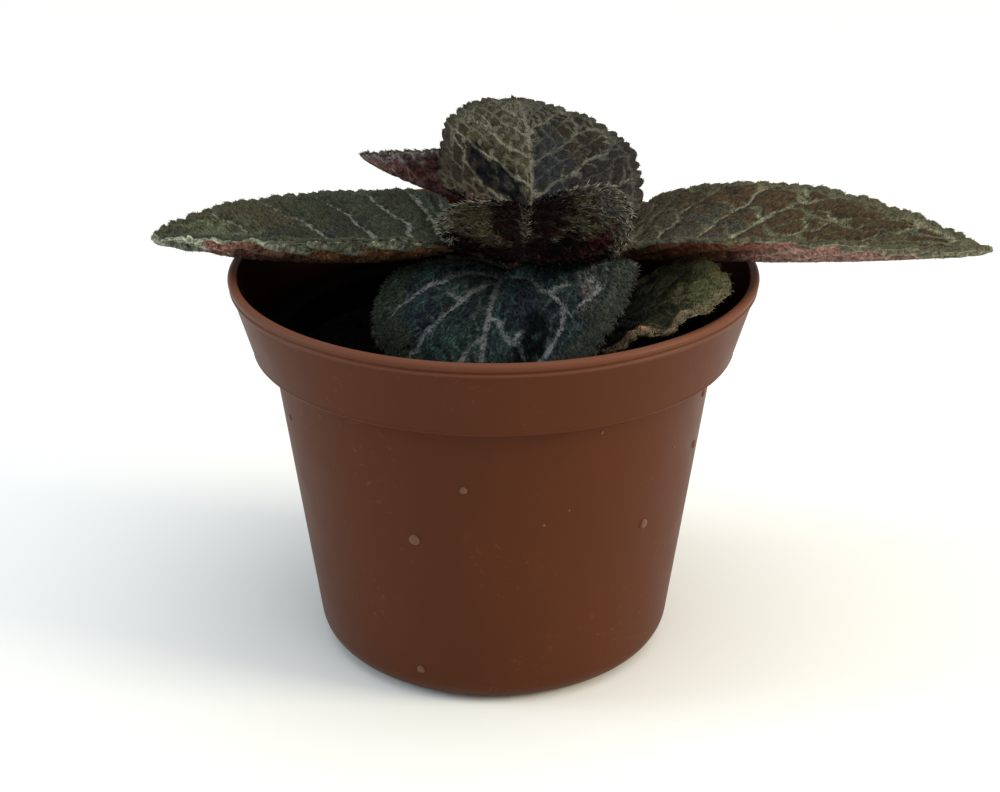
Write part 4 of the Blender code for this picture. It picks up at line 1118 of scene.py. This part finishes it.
def makeBlade(name, leaf, rib, random):
    # a grid of rows and columns laid on the blade's form, with relief, teeth and the masks for its colours
    rows = int(marginLength(leaf, 1)[-1] / leafRules["rowStep"])
    columns = 2 * int(leaf["halfWidth"] / leafRules["columnStep"])
    bm = bmesh.new()
    bmesh.ops.create_grid(bm, x_segments=rows, y_segments=columns, size=1)
    mesh = finishMesh(bm, name)
    grid = readPoints(mesh)
    writeValues(mesh, "row", (grid[:, 0] + 1) / 2)
    writeValues(mesh, "column", grid[:, 1])
    writePoints(mesh, bladePlace(leaf, rib, (grid[:, 0] + 1) / 2, grid[:, 1]) * mm)
    bm = bmesh.new()
    bm.from_mesh(mesh)
    bmesh.ops.remove_doubles(bm, verts=bm.verts, dist=leafRules["weldGap"] * mm)
    bm.to_mesh(mesh)
    bm.free()
    normals = readNormals(mesh)
    upward = alongMidrib(rib, "up", np.array([leaf["length"] / 2]))[0]
    if (normals @ upward).sum() < 0:
        mesh.flip_normals()
        normals = -normals

    row, column = readValues(mesh, "row"), readValues(mesh, "column")
    pattern = bladePattern(leaf, row, column, random)
    flat, edgeGap = pattern["flat"], pattern["edgeGap"]
    veinGap, netGap = pattern["veinGap"], pattern["netGap"]

    # puffed between the veins, calm at the margin, crumpled near the tip
    calm = smooth(edgeGap, 0, leafRules["calmEdge"])
    relief = leafRules["quilting"] * smooth(veinGap, -0.2, 2.2) * calm
    relief += leafRules["cellPuff"] * smooth(netGap, 0, 0.6) * smooth(veinGap, 0, 0.6)
    relief *= leaf["pucker"]
    ruffle = leafRules["waviness"] * leaf["ruffle"] * ripples(flat, leafRules["ruffleSize"], random)
    relief += ruffle * smooth(np.abs(column), leafRules["ruffleFrom"], 1)
    crumple = leaf["crumple"] * ripples(flat, leafRules["crumpleSize"], random)
    relief += crumple * smooth(row, leafRules["crumpleFrom"], 1) * 0.5

    # rounded teeth along the margin
    inner = bladePlace(leaf, rib, row, column * 0.93) * mm
    outward = readPoints(mesh) - inner
    outward /= np.maximum(np.linalg.norm(outward, axis=-1), 1e-9)[:, None]
    zone = smooth(np.abs(column), leafRules["toothZone"], 1)
    zone *= smooth(row, 0, 0.02) * smooth(1 - row, 0, 0.05)
    tooth = toothShape(leaf, row, column) * zone
    points = readPoints(mesh) + (normals * relief[:, None] + outward * tooth[:, None]) * mm
    writePoints(mesh, points)

    # hairs are palest on the veins and near the margin
    nearVein = np.exp(-np.maximum(veinGap, 0) / leafRules["veinHairReach"])
    hairTone = 0.3 + 0.7 * np.maximum(nearVein, smooth(leafRules["calmEdge"] - edgeGap, 0, 1.5))
    netStrength = pattern["netStrength"]
    blur = leafRules["zoneBlur"]
    for index, (side, rows, columns, strength, tone, _) in enumerate(leaf["zones"]):
        stray = leafRules["zoneWander"] * ripples(flat, 4, random)
        zone = smooth(row + stray - rows[0], -blur, blur) * smooth(rows[1] - row - stray, -blur, blur)
        out = np.abs(column) + stray
        zone *= smooth(out - columns[0], -blur, blur) * smooth(columns[1] - out, -blur, blur)
        zone *= (column * side >= 0) * smooth(ripples(flat, 1.8, random), -2.1, -0.7)
        zone = np.minimum(zone * 1.35, 1)
        writeValues(mesh, f"zone{index}", zone * strength)
        # hair tone follows each zone, so the painted shade zones get dark hairs and a faint net
        hairTone *= 1 + (tone - 1) * zone
        netStrength *= 1 - max(0, 1 - tone) * zone * strength
    writeValues(mesh, "hairTone", hairTone)
    writeValues(mesh, "ragged", leaf["ragged"] * smooth(np.abs(column), 0.15, 0.6))
    # veins fade where the hair tone is low, as in the painted shade zones, and at the margin
    writeValues(mesh, "veinTone", (0.25 + 0.75 * smooth(hairTone, 0.1, 0.9)) * smooth(edgeGap, 0.2, 1.5))
    # the fur's own grid leans outwards and ahead on both sides of the midrib
    furAlong = flat[:, 0] * 0.75 + np.abs(flat[:, 1]) * 0.65
    furAcross = np.abs(flat[:, 1]) * 0.75 - flat[:, 0] * 0.65
    fur = [furAlong * 0.8, furAcross * 2.6, leaf["seed"] + 5 * np.sign(column)]
    writeVectors(mesh, "furPlace", np.column_stack(fur))
    writeValues(mesh, "keel", smooth(np.abs(column) + 0.04 * ripples(flat, 2, random), 0.02, 0.3))
    bandFrom = np.interp(row, *np.array(leaf["bandFrom"]).T)
    bandFrom += 0.05 * ripples(flat, 3, random)
    writeValues(mesh, "band", smooth(np.abs(column), bandFrom - 0.06, bandFrom + 0.06))
    for key in ("veinGap", "netGap", "cellTone", "edgeGap"):
        writeValues(mesh, key, pattern[key])
    writeValues(mesh, "netStrength", netStrength)
    writeVectors(mesh, "flatPlace", np.column_stack([flat, np.full(len(flat), float(leaf["seed"]))]))

    blade = addPiece(name, mesh, leaf["node"], leaf["node"])
    thicken = blade.modifiers.new("thickness", "SOLIDIFY")
    thicken.thickness = leafRules["thickness"] * mm
    thicken.offset = -1
    thicken.material_offset = 1
    mesh.materials.append(leafTopMaterial(name, leaf))
    mesh.materials.append(leafUnderMaterial(name, leaf))
    thick = appliedMesh(blade)
    blade.modifiers.clear()
    blade.data = thick

    # veins stand out under the blade
    half = len(thick.vertices) // 2
    points = readPoints(thick)
    ridge = leafRules["ribRelief"] * (1 - smooth(veinGap, 0, 0.6))
    ridge += leafRules["netRidge"] * (1 - smooth(netGap, 0, 0.35))
    points[half:] -= readNormals(thick)[:half] * (ridge * smooth(edgeGap, 0, 1))[:, None] * mm
    writePoints(thick, points)
    return blade


def marginLength(leaf, side, steps=600):
    # mm run along one margin from the base, at evenly spaced rows
    along, across = flatPlace(leaf, np.linspace(0, 1, steps), np.full(steps, float(side)))
    return np.concatenate([[0], np.cumsum(np.hypot(np.diff(along), np.diff(across)))])


def toothShape(leaf, row, column):
    # rounded teeth, evenly spaced along each margin
    found = np.zeros(len(row))
    for side in (1, -1):
        length = marginLength(leaf, side)
        phase = np.interp(row, np.linspace(0, 1, len(length)), length) / leaf["toothLength"]
        phase += 0.18 * np.sin(phase * 1.7 + side)
        shape = np.abs(np.sin(np.pi * phase)) ** 0.6 - 0.6
        shape *= leaf["toothDepth"] * (1 + leaf["tipTeeth"] * smooth(row, 0.8, 0.93))
        found = np.where((column >= 0) == (side > 0), shape, found)
    return found


def leafTopMaterial(name, leaf):
    # from below: ground colour, dark patches, coloured areas, some of them painted shade or light, fur with
    # painted shade and highlights, small net, main veins, margin
    material, tree, shader = startMaterial(name + "Top", **{"Specular IOR Level": leaf["gloss"]})
    place = readPlace(tree, "flatPlace")
    netGap, strength = readMask(tree, "netGap"), readMask(tree, "netStrength")
    tone, edgeGap = readMask(tree, "cellTone"), readMask(tree, "edgeGap")
    cloud = grainAt(tree, place, 0.16, 3)
    fine = grainAt(tree, place, 1.2, 4, 0.65)
    fuzz = grainAt(tree, place, 2.6, 3, 0.65)
    fur = grainAt(tree, readPlace(tree, "furPlace"), 1, 3, 0.6)
    feather = times(tree, slide(tree, fur, 0.3, 0.7, 1, -1), readMask(tree, "ragged"))
    veinGap = plus(tree, readMask(tree, "veinGap"), feather)
    color = blendColors(tree, slide(tree, cloud, 0.4, 0.6), leaf["green"], leaf["shade"])
    inCell = times(tree, slide(tree, netGap, 0.05, 0.32), slide(tree, veinGap, 0.15, 0.7))
    chosen = times(
        tree, slide(tree, tone, *leaf["patchShare"], 0.15, 1.0), slide(tree, fine, 0.25, 0.5, 0.3, 1.0)
    )
    amount = slide(tree, edgeGap, 0.7, 2.0, 0.15 * leaf["patchAmount"], leaf["patchAmount"])
    patches = times(tree, times(tree, inCell, chosen), amount)
    color = blendColors(tree, patches, color, leaf["patch"])
    for index, zone in enumerate(leaf["zones"]):
        color = blendColors(tree, readMask(tree, f"zone{index}"), color, zone[-1])
    color = paintedFurShading(tree, color, leaf, fur, fuzz)
    vein = blendColors(
        tree, slide(tree, fuzz, 0.3, 0.7), mixedWith(leaf["vein"], 0.75), mixedWith(leaf["vein"], 1.2)
    )
    net = times(tree, slide(tree, netGap, -0.02, 0.16, leaf["netAmount"], 0.0), strength)
    color = blendColors(tree, net, color, vein)
    main = times(tree, slide(tree, veinGap, -0.12, leaf["veinSoft"], 1.0, 0.0), readMask(tree, "veinTone"))
    color = blendColors(tree, main, color, vein)
    edge = slide(tree, edgeGap, leaf["edgeWidth"] * 0.4, leaf["edgeWidth"], leaf["edgeAmount"], 0.0)
    color = blendColors(tree, times(tree, edge, slide(tree, fuzz, 0.3, 0.65, 0.3, 1.0)), color, leaf["edge"])
    tree.links.new(color, shader.inputs["Base Color"])
    tree.links.new(slide(tree, fine, 0.3, 0.7, 0.6, 0.8), shader.inputs["Roughness"])
    addBump(tree, shader, fuzz, 0.8, 0.2 * mm)
    return material


def paintedFurShading(tree, color, leaf, fur, fuzz):
    # painted shade in the gaps and painted highlights on the tufts of the short fur
    dark, pale = leaf["light"]
    light = times(tree, slide(tree, fuzz, 0.32, 0.68, dark, pale), slide(tree, fur, 0.3, 0.7, dark, pale))
    return scaledColor(tree, color, light)


def scaledColor(tree, color, amount):
    return addNode(tree, "ShaderNodeVectorMath", {0: color, "Scale": amount}, operation="SCALE").outputs[0]


def mixedWith(color, share):
    return tuple(share * part for part in color)


def leafUnderMaterial(name, leaf):
    # ground colour, raised veins, the pale band under the margin, fur with painted shade and highlights, and
    # painted shade beside stalk and keel
    material, tree, shader = startMaterial(name + "Under", **{"Specular IOR Level": 0.1})
    place = readPlace(tree, "flatPlace")
    fine = grainAt(tree, place, 1.3, 4, 0.6)
    fuzz = grainAt(tree, place, 2.6, 3, 0.7)
    fur = grainAt(tree, readPlace(tree, "furPlace"), 1, 3, 0.6)
    tipColor = leaf.get("underTip", leaf["under"])
    color = blendColors(tree, slide(tree, readMask(tree, "row"), *leaf["pinkFrom"]), leaf["under"], tipColor)
    veins = slide(tree, readMask(tree, "veinGap"), 0.0, 0.4, 0.4, 0.0)
    color = blendColors(tree, veins, color, leaf["edge"])
    band = times(tree, readMask(tree, "band"), slide(tree, fine, 0.25, 0.55, 0.7, 1.0))
    cloud = grainAt(tree, place, 0.5, 3)
    pale = leaf.get("bandColor", leaf["edge"])
    mottled = blendColors(tree, slide(tree, cloud, 0.35, 0.6), mixedWith(pale, 0.6), mixedWith(pale, 1.1))
    color = blendColors(tree, band, color, mottled)
    color = paintedFurShading(tree, color, leaf, fur, fuzz)
    # painted shade beside the stalk and along the midrib
    shade = times(
        tree, slide(tree, readMask(tree, "row"), 0.08, 0.16, leaf["stalkShade"], 1),
        slide(tree, readMask(tree, "keel"), 0, 1, leaf["keelShade"], 1),
    )
    color = scaledColor(tree, color, times(tree, shade, slide(tree, fine, 0.32, 0.68, 0.6, 1.4)))
    tree.links.new(color, shader.inputs["Base Color"])
    tree.links.new(slide(tree, fine, 0.3, 0.7, 0.5, 0.7), shader.inputs["Roughness"])
    addBump(tree, shader, fuzz, 0.7, 0.15 * mm)
    return material


# Stalks: each runs from the stem into its blade and on as the raised midrib under it

stemSetup = {
    "x": 5.6, "y": 2.0, "radius": 2.3, "neck": 1.5,
    "rings": (58.8, 62.4, 66.0, 70.2),  # heights of the leaf pairs
    "foot": 42.0, "waist": 0.93, "bud": 0.75, "budTip": 75.8,
    "swell": 0.09, "swellSize": 1.1, "furSeed": 5,
}

stalkSetup = {
    "radius": 1.05, "ribEnd": 0.12, "ribDepth": 0.1, "ribReach": 0.93,
    "ribSteps": 13, "smoothness": 5,
    "olive": (0.080, 0.065, 0.030), "brown": (0.110, 0.045, 0.022), "streak": (0.03, 0.014, 0.009),
    "hair": (0.20, 0.15, 0.11), "hairs": 2.2, "hairLength": (0.35, 0.8), "hairWidth": 0.1,
}


def smoothRoute(points, steps):
    # a straight first run, then an even curve through the other points
    ends = points + [points[-1] * 2 - points[-2]]
    route = [points[0]]
    for before, start, end, after in zip(ends, ends[1:], ends[2:], ends[3:]):
        for step in range(steps):
            t = step / steps
            route.append(0.5 * (
                start * 2 + (end - before) * t
                + (before * 2 - start * 5 + end * 4 - after) * t * t
                + (start * 3 - before - end * 3 + after) * t * t * t
            ))
    return route + [points[-1]]


def makeStalk(name, leaf, rib, material):
    # a round tube from inside the stem, along the bends and then close under the blade
    bends = [Vector(point) for point in leaf["bends"]]
    axis = Vector((stemSetup["x"], stemSetup["y"], stemSetup["rings"][leaf["ring"]]))
    stemRadius = stemSetup["neck"] if leaf["ring"] == len(stemSetup["rings"]) - 1 else stemSetup["radius"]
    outward = (bends[0] - axis) * Vector((1, 1, 0))
    outward.normalize()
    points = [axis + outward * stemRadius * 0.4, axis + outward * (stemRadius + 0.6)] + bends
    radii = [stalkSetup["radius"]] * len(points)
    for step in range(stalkSetup["ribSteps"]):
        share = step / (stalkSetup["ribSteps"] - 1)
        radius = between((leaf["ribRadius"], stalkSetup["ribEnd"]), share**0.75)
        along = np.array([stalkSetup["ribReach"] * leaf["length"] * share])
        point = Vector(alongMidrib(rib, "path", along)[0])
        up = Vector(alongMidrib(rib, "up", along)[0])
        points.append(point - up * (radius + stalkSetup["ribDepth"]))
        radii.append(radius)
    route = smoothRoute(points, stalkSetup["smoothness"])
    curve = bpy.data.curves.new(name, "CURVE")
    curve.dimensions = "3D"
    curve.bevel_depth = mm
    curve.bevel_resolution = 4
    curve.use_fill_caps = True
    spline = curve.splines.new("POLY")
    spline.points.add(len(route) - 1)
    for index, (target, point) in enumerate(zip(spline.points, route)):
        target.co = (*(point * mm), 1)
        target.radius = float(np.interp((index + 1) / stalkSetup["smoothness"], range(len(radii)), radii))
    tube = bpy.data.objects.new(name + "Curve", curve)
    bpy.context.scene.collection.objects.link(tube)
    bm = bmesh.new()
    bm.from_mesh(appliedMesh(tube))
    bpy.data.objects.remove(tube)
    bmesh.ops.remove_doubles(bm, verts=bm.verts, dist=0.005 * mm)
    bmesh.ops.recalc_face_normals(bm, faces=bm.faces)
    stalk = addPiece(name, finishMesh(bm, name), leaf["node"])
    stalk.data.materials.append(material)
    return stalk


def stalkMaterial(name, shade=1):
    material, tree, shader = startMaterial(name, **{
        "Specular IOR Level": 0.1, "Sheen Weight": 0.05, "Subsurface Weight": 0.08,
    })
    inputs = {"Vector": objectPlace(tree), "Scale": (900, 900, 900)}
    streak = addNode(tree, "ShaderNodeMapping", inputs).outputs["Vector"]
    cloud = grainAt(tree, streak, 0.25, 3)
    fine = grainAt(tree, streak, 1.5, 3)
    # shade darkens the whole skin: painted shade
    olive, brown = mixedWith(stalkSetup["olive"], shade), mixedWith(stalkSetup["brown"], shade)
    color = blendColors(tree, slide(tree, cloud, 0.35, 0.65), olive, brown)
    streaks = mixedWith(stalkSetup["streak"], shade)
    color = blendColors(tree, slide(tree, fine, 0.45, 0.75, 0.0, 0.5), color, streaks)
    tree.links.new(color, shader.inputs["Base Color"])
    tree.links.new(slide(tree, fine, 0.3, 0.7, 0.45, 0.65), shader.inputs["Roughness"])
    addBump(tree, shader, fine, 0.5, 0.15 * mm)
    return material


def makeStem(material):
    shape = stemSetup
    rings = shape["rings"]
    waist = shape["radius"] * shape["waist"]
    profile = [
        (0, shape["budTip"]),
        (shape["bud"] * 0.6, shape["budTip"] - 0.6),
        (shape["bud"], shape["budTip"] - 1.8),
        (shape["bud"] * 0.9, rings[3] + 1.6),
        (shape["neck"], rings[3] + 0.4),
        (shape["neck"], rings[3] - 1.2),
        (shape["radius"], rings[2] + 0.5),
        (waist, (rings[2] + rings[1]) / 2),
        (shape["radius"], rings[1]),
        (waist, (rings[1] + rings[0]) / 2),
        (shape["radius"], rings[0]),
        (waist, rings[0] - 2.5),
        (shape["radius"], shape["foot"] + 0.6),
        (shape["radius"] - 0.6, shape["foot"]),
        (0, shape["foot"]),
    ]
    line = [(radius * mm, height * mm) for radius, height in softened(profile, 1.2, 3)]
    mesh = spinProfile("stem", line, 40)
    points = readPoints(mesh)
    swell = np.array([noise.noise(Vector(point) / (shape["swellSize"] * mm)) for point in points])
    points[:, :2] *= (1 + shape["swell"] * swell)[:, None]
    points[:, 0] += shape["x"] * mm
    points[:, 1] += shape["y"] * mm
    writePoints(mesh, points)
    stem = addPiece("plantStem", mesh, "stem", "stem")
    stem.data.materials.append(material)
    return stem


# Hairs: thin tapering blades of mesh, rooted in leaf, stalk and stem

hairSetup = {
    "sink": 0.06,  # mm that each root lies below the surface
    "droop": 0.35,
    "knee": (0.55, 0.75),  # where a bent hair's knee is, and its width there
    "darkTone": 0.006,
    "jitter": 0.12,  # mm that roots stray from the middle of their face
}


def hairMaterial(name, color, gloss=0.05):
    material, tree, shader = startMaterial(name, **{
        "Roughness": 0.6, "Specular IOR Level": gloss,
    })
    streak = grainAt(tree, objectPlace(tree), 1800, 2)
    tone = times(tree, readMask(tree, "hairTone"), slide(tree, streak, 0.3, 0.6, 0.6, 1.0))
    color = blendColors(tree, tone, mixedWith(color, hairSetup["darkTone"]), color)
    tree.links.new(color, shader.inputs["Base Color"])
    return material


def makeHairs(
    name, roots, directions, lengths, width, tones, slotName, material, random, bent=True, floor=0,
):
    # each hair is a closed three-sided spike, with a kneed middle where it is bent
    count = len(roots)
    directions = directions / np.maximum(np.linalg.norm(directions, axis=-1), 1e-9)[:, None]
    across = np.cross(directions, random.normal(size=(count, 3)))
    across /= np.maximum(np.linalg.norm(across, axis=-1), 1e-9)[:, None]
    third = np.cross(directions, across)
    start = roots - directions * hairSetup["sink"] * mm
    most = hairSetup["droop"]
    droop = across * (random.uniform(-most, most, count) * lengths)[:, None] * mm
    levels = [(0.0, 1.0), hairSetup["knee"]] if bent else [(0.0, 1.0)]
    rings = []
    for share, size in levels:
        centre = start + directions * (lengths * share)[:, None] * mm + droop * share * share
        for turn in range(3):
            angle = 2 * math.pi * turn / 3
            reach = width / 2 * size * mm
            rings.append(centre + (across * math.cos(angle) + third * math.sin(angle)) * reach)
    tip = start + directions * lengths[:, None] * mm + droop
    points = np.stack(rings + [tip], 1).reshape(-1, 3)
    each = len(rings) + 1
    faces = [(2, 1, 0)]
    for level in range(len(levels) - 1):
        low, high = 3 * level, 3 * level + 3
        faces += [(low + a, low + b, high + b, high + a) for a, b in ((0, 1), (1, 2), (2, 0))]
    last = 3 * (len(levels) - 1)
    faces += [(last + a, last + b, each - 1) for a, b in ((0, 1), (1, 2), (2, 0))]
    mesh = bpy.data.meshes.new(name)
    starts = range(0, count * each, each)
    allFaces = [tuple(base + corner for corner in face) for base in starts for face in faces]
    mesh.from_pydata(points.tolist(), [], allFaces)
    tones = tones * (floor + (1 - floor) * random.random(count) ** 1.3)
    writeValues(mesh, "hairTone", np.repeat(tones, each))
    mesh.materials.append(material)
    mesh.shade_smooth()
    return addPiece(name, mesh, slotName)


def pickFaces(mesh, perArea, random, slotIndex=None):
    # (places, normals, face numbers) of random faces, so many for each square mm of every face
    count = len(mesh.polygons)
    areas, slots = np.empty(count), np.empty(count, int)
    centres, normals = np.empty(count * 3), np.empty(count * 3)
    mesh.polygons.foreach_get("area", areas)
    mesh.polygons.foreach_get("material_index", slots)
    mesh.polygons.foreach_get("center", centres)
    mesh.polygons.foreach_get("normal", normals)
    if slotIndex is not None:
        areas = np.where(slots == slotIndex, areas, 0)
    weights = areas / mm**2 * perArea
    number = int(weights.sum())
    chosen = random.choice(count, number, p=weights / weights.sum())
    normals = normals.reshape(-1, 3)[chosen]
    jitter = random.normal(size=(number, 3)) * hairSetup["jitter"] * mm
    jitter -= normals * (jitter * normals).sum(-1)[:, None]
    return centres.reshape(-1, 3)[chosen] + jitter, normals, chosen


def makeLeafHairs(name, leaf, rib, blade, stalk, random):
    # fur on both faces, a fringe along the margin and hairs on the stalk
    mesh = blade.data
    hair = hairMaterial(name + "Hair", leaf["hair"], leaf["gloss"])
    corner = np.array([face.vertices[0] for face in mesh.polygons])
    row, column = readValues(mesh, "row"), readValues(mesh, "column")

    crowd = leaf["hairs"] + leaf["veinHairs"] * (readValues(mesh, "veinGap")[corner] < 0.15)
    crowd = crowd + leaf["rimHairs"] * (readValues(mesh, "edgeGap")[corner] < 2)
    roots, normals, chosen = pickFaces(mesh, crowd, random, 0)
    first = corner[chosen]
    side = np.where(column[first] >= 0, 1.0, -1.0)
    edge = bladePlace(leaf, rib, np.clip(row[first] + 0.03, 0, 1), side) * mm
    lean = edge - roots
    lean /= np.maximum(np.linalg.norm(lean, axis=-1), 1e-9)[:, None]
    directions = normals + lean * leaf["lean"] + random.normal(size=roots.shape) * 0.3
    lengths = leaf["hairLength"] * random.uniform(0.55, 1.15, len(roots))
    tones = readValues(mesh, "hairTone")
    width, node = leaf["hairWidth"], leaf["node"]
    floor = leaf["hairFloor"]
    makeHairs(
        name + "Fur", roots, directions, lengths, width, tones[first], node, hair, random,
        bent=False, floor=floor,
    )

    roots, normals, chosen = pickFaces(mesh, leaf["underHairs"], random, 1)
    directions = normals + random.normal(size=roots.shape) * 0.4
    lengths = leaf["underLength"] * random.uniform(0.6, 1.1, len(roots))
    toned = (0.3 + 0.7 * readValues(mesh, "band") * np.minimum(tones * 1.5, 1))[corner[chosen]]
    makeHairs(
        name + "UnderFur", roots, directions, lengths, width * 0.8, toned, node, hair, random,
        bent=False, floor=max(floor, 0.3),
    )

    half = len(mesh.vertices) // 2  # the top face's points come first
    rim = np.flatnonzero((np.abs(column[:half]) > 0.999) & (row[:half] > 0.004))
    number = int(len(rim) * leafRules["rowStep"] * leaf["edgeHairs"])
    picks = random.choice(rim, number)
    inner = bladePlace(leaf, rib, row[picks], column[picks] * 0.9) * mm
    ahead = bladePlace(leaf, rib, np.clip(row[picks] + 0.01, 0, 1), column[picks]) * mm
    roots = readPoints(mesh)[picks]
    outward = roots - inner
    outward /= np.maximum(np.linalg.norm(outward, axis=-1), 1e-9)[:, None]
    forward = ahead - bladePlace(leaf, rib, row[picks], column[picks]) * mm
    forward /= np.maximum(np.linalg.norm(forward, axis=-1), 1e-9)[:, None]
    roots = roots + forward * random.uniform(-0.2, 0.2, number)[:, None] * mm
    roots -= readNormals(mesh)[picks] * random.uniform(0, 0.4, number)[:, None] * mm
    directions = outward + forward * 0.45 + random.normal(size=roots.shape) * 0.38
    lengths = leaf["edgeHairLength"] * random.uniform(0.5, 1.15, number)
    makeHairs(
        name + "Fringe", roots, directions, lengths, width, tones[picks], node, hair, random, floor=floor,
    )

    makeStalkHairs(name + "StalkFur", stalk, node, random, leaf["stalkShade"])


def makeStalkHairs(name, stalk, slotName, random, shade=1):
    roots, normals, _ = pickFaces(stalk.data, stalkSetup["hairs"], random)
    directions = normals + random.normal(size=roots.shape) * 0.3
    lengths = random.uniform(*stalkSetup["hairLength"], len(roots))
    hair = hairMaterial(name, stalkSetup["hair"])
    # painted shade: the hairs darkened as much as the stalk
    tones = np.full(len(roots), float(shade))
    makeHairs(name, roots, directions, lengths, stalkSetup["hairWidth"], tones, slotName, hair, random)


def makePlant():
    material = stalkMaterial("stalkSkin")
    stem = makeStem(material)
    makeStalkHairs("stemFur", stem, "stem", np.random.default_rng(stemSetup["furSeed"]))
    print("stem made")
    for name, values in leaves.items():
        leaf = {**leafDefaults, **values}
        random = np.random.default_rng(leaf["seed"])
        rib = midribLine(leaf)
        blade = makeBlade(name, leaf, rib, random)
        skin = stalkMaterial(name + "Skin", leaf["stalkShade"])
        stalk = makeStalk(name + "Stalk", leaf, rib, skin)
        makeLeafHairs(name, leaf, rib, blade, stalk, random)
        print(name, "made:", len(blade.data.polygons), "faces")


# Floor

floorSetup = {
    "halfSize": 4,  # m
    "below": 0.05 * mm,
    "pale": ((0.86, 0.86, 0.86), (0.88, 0.88, 0.88)),
}


def makeFloor():
    bm = bmesh.new()
    bmesh.ops.create_grid(bm, x_segments=8, y_segments=8, size=floorSetup["halfSize"])
    floor = bpy.data.objects.new("paleFloor", finishMesh(bm, "paleFloor"))
    floor.location = (0, 0, -floorSetup["below"])
    bpy.context.scene.collection.objects.link(floor)
    material, tree, shader = startMaterial("palePaper", **{"Roughness": 0.9, "Specular IOR Level": 0.1})
    shade = slide(tree, grainAt(tree, objectPlace(tree), 3, 2), 0.3, 0.7)
    color = blendColors(tree, shade, *floorSetup["pale"])
    tree.links.new(color, shader.inputs["Base Color"])
    floor.data.materials.append(material)


placeCamera()
placeLights()
makeFloor()
print("studio made")
makePot()
makeDrops()
print("pot made")
makeSoil()
print("soil made")
makePlant()
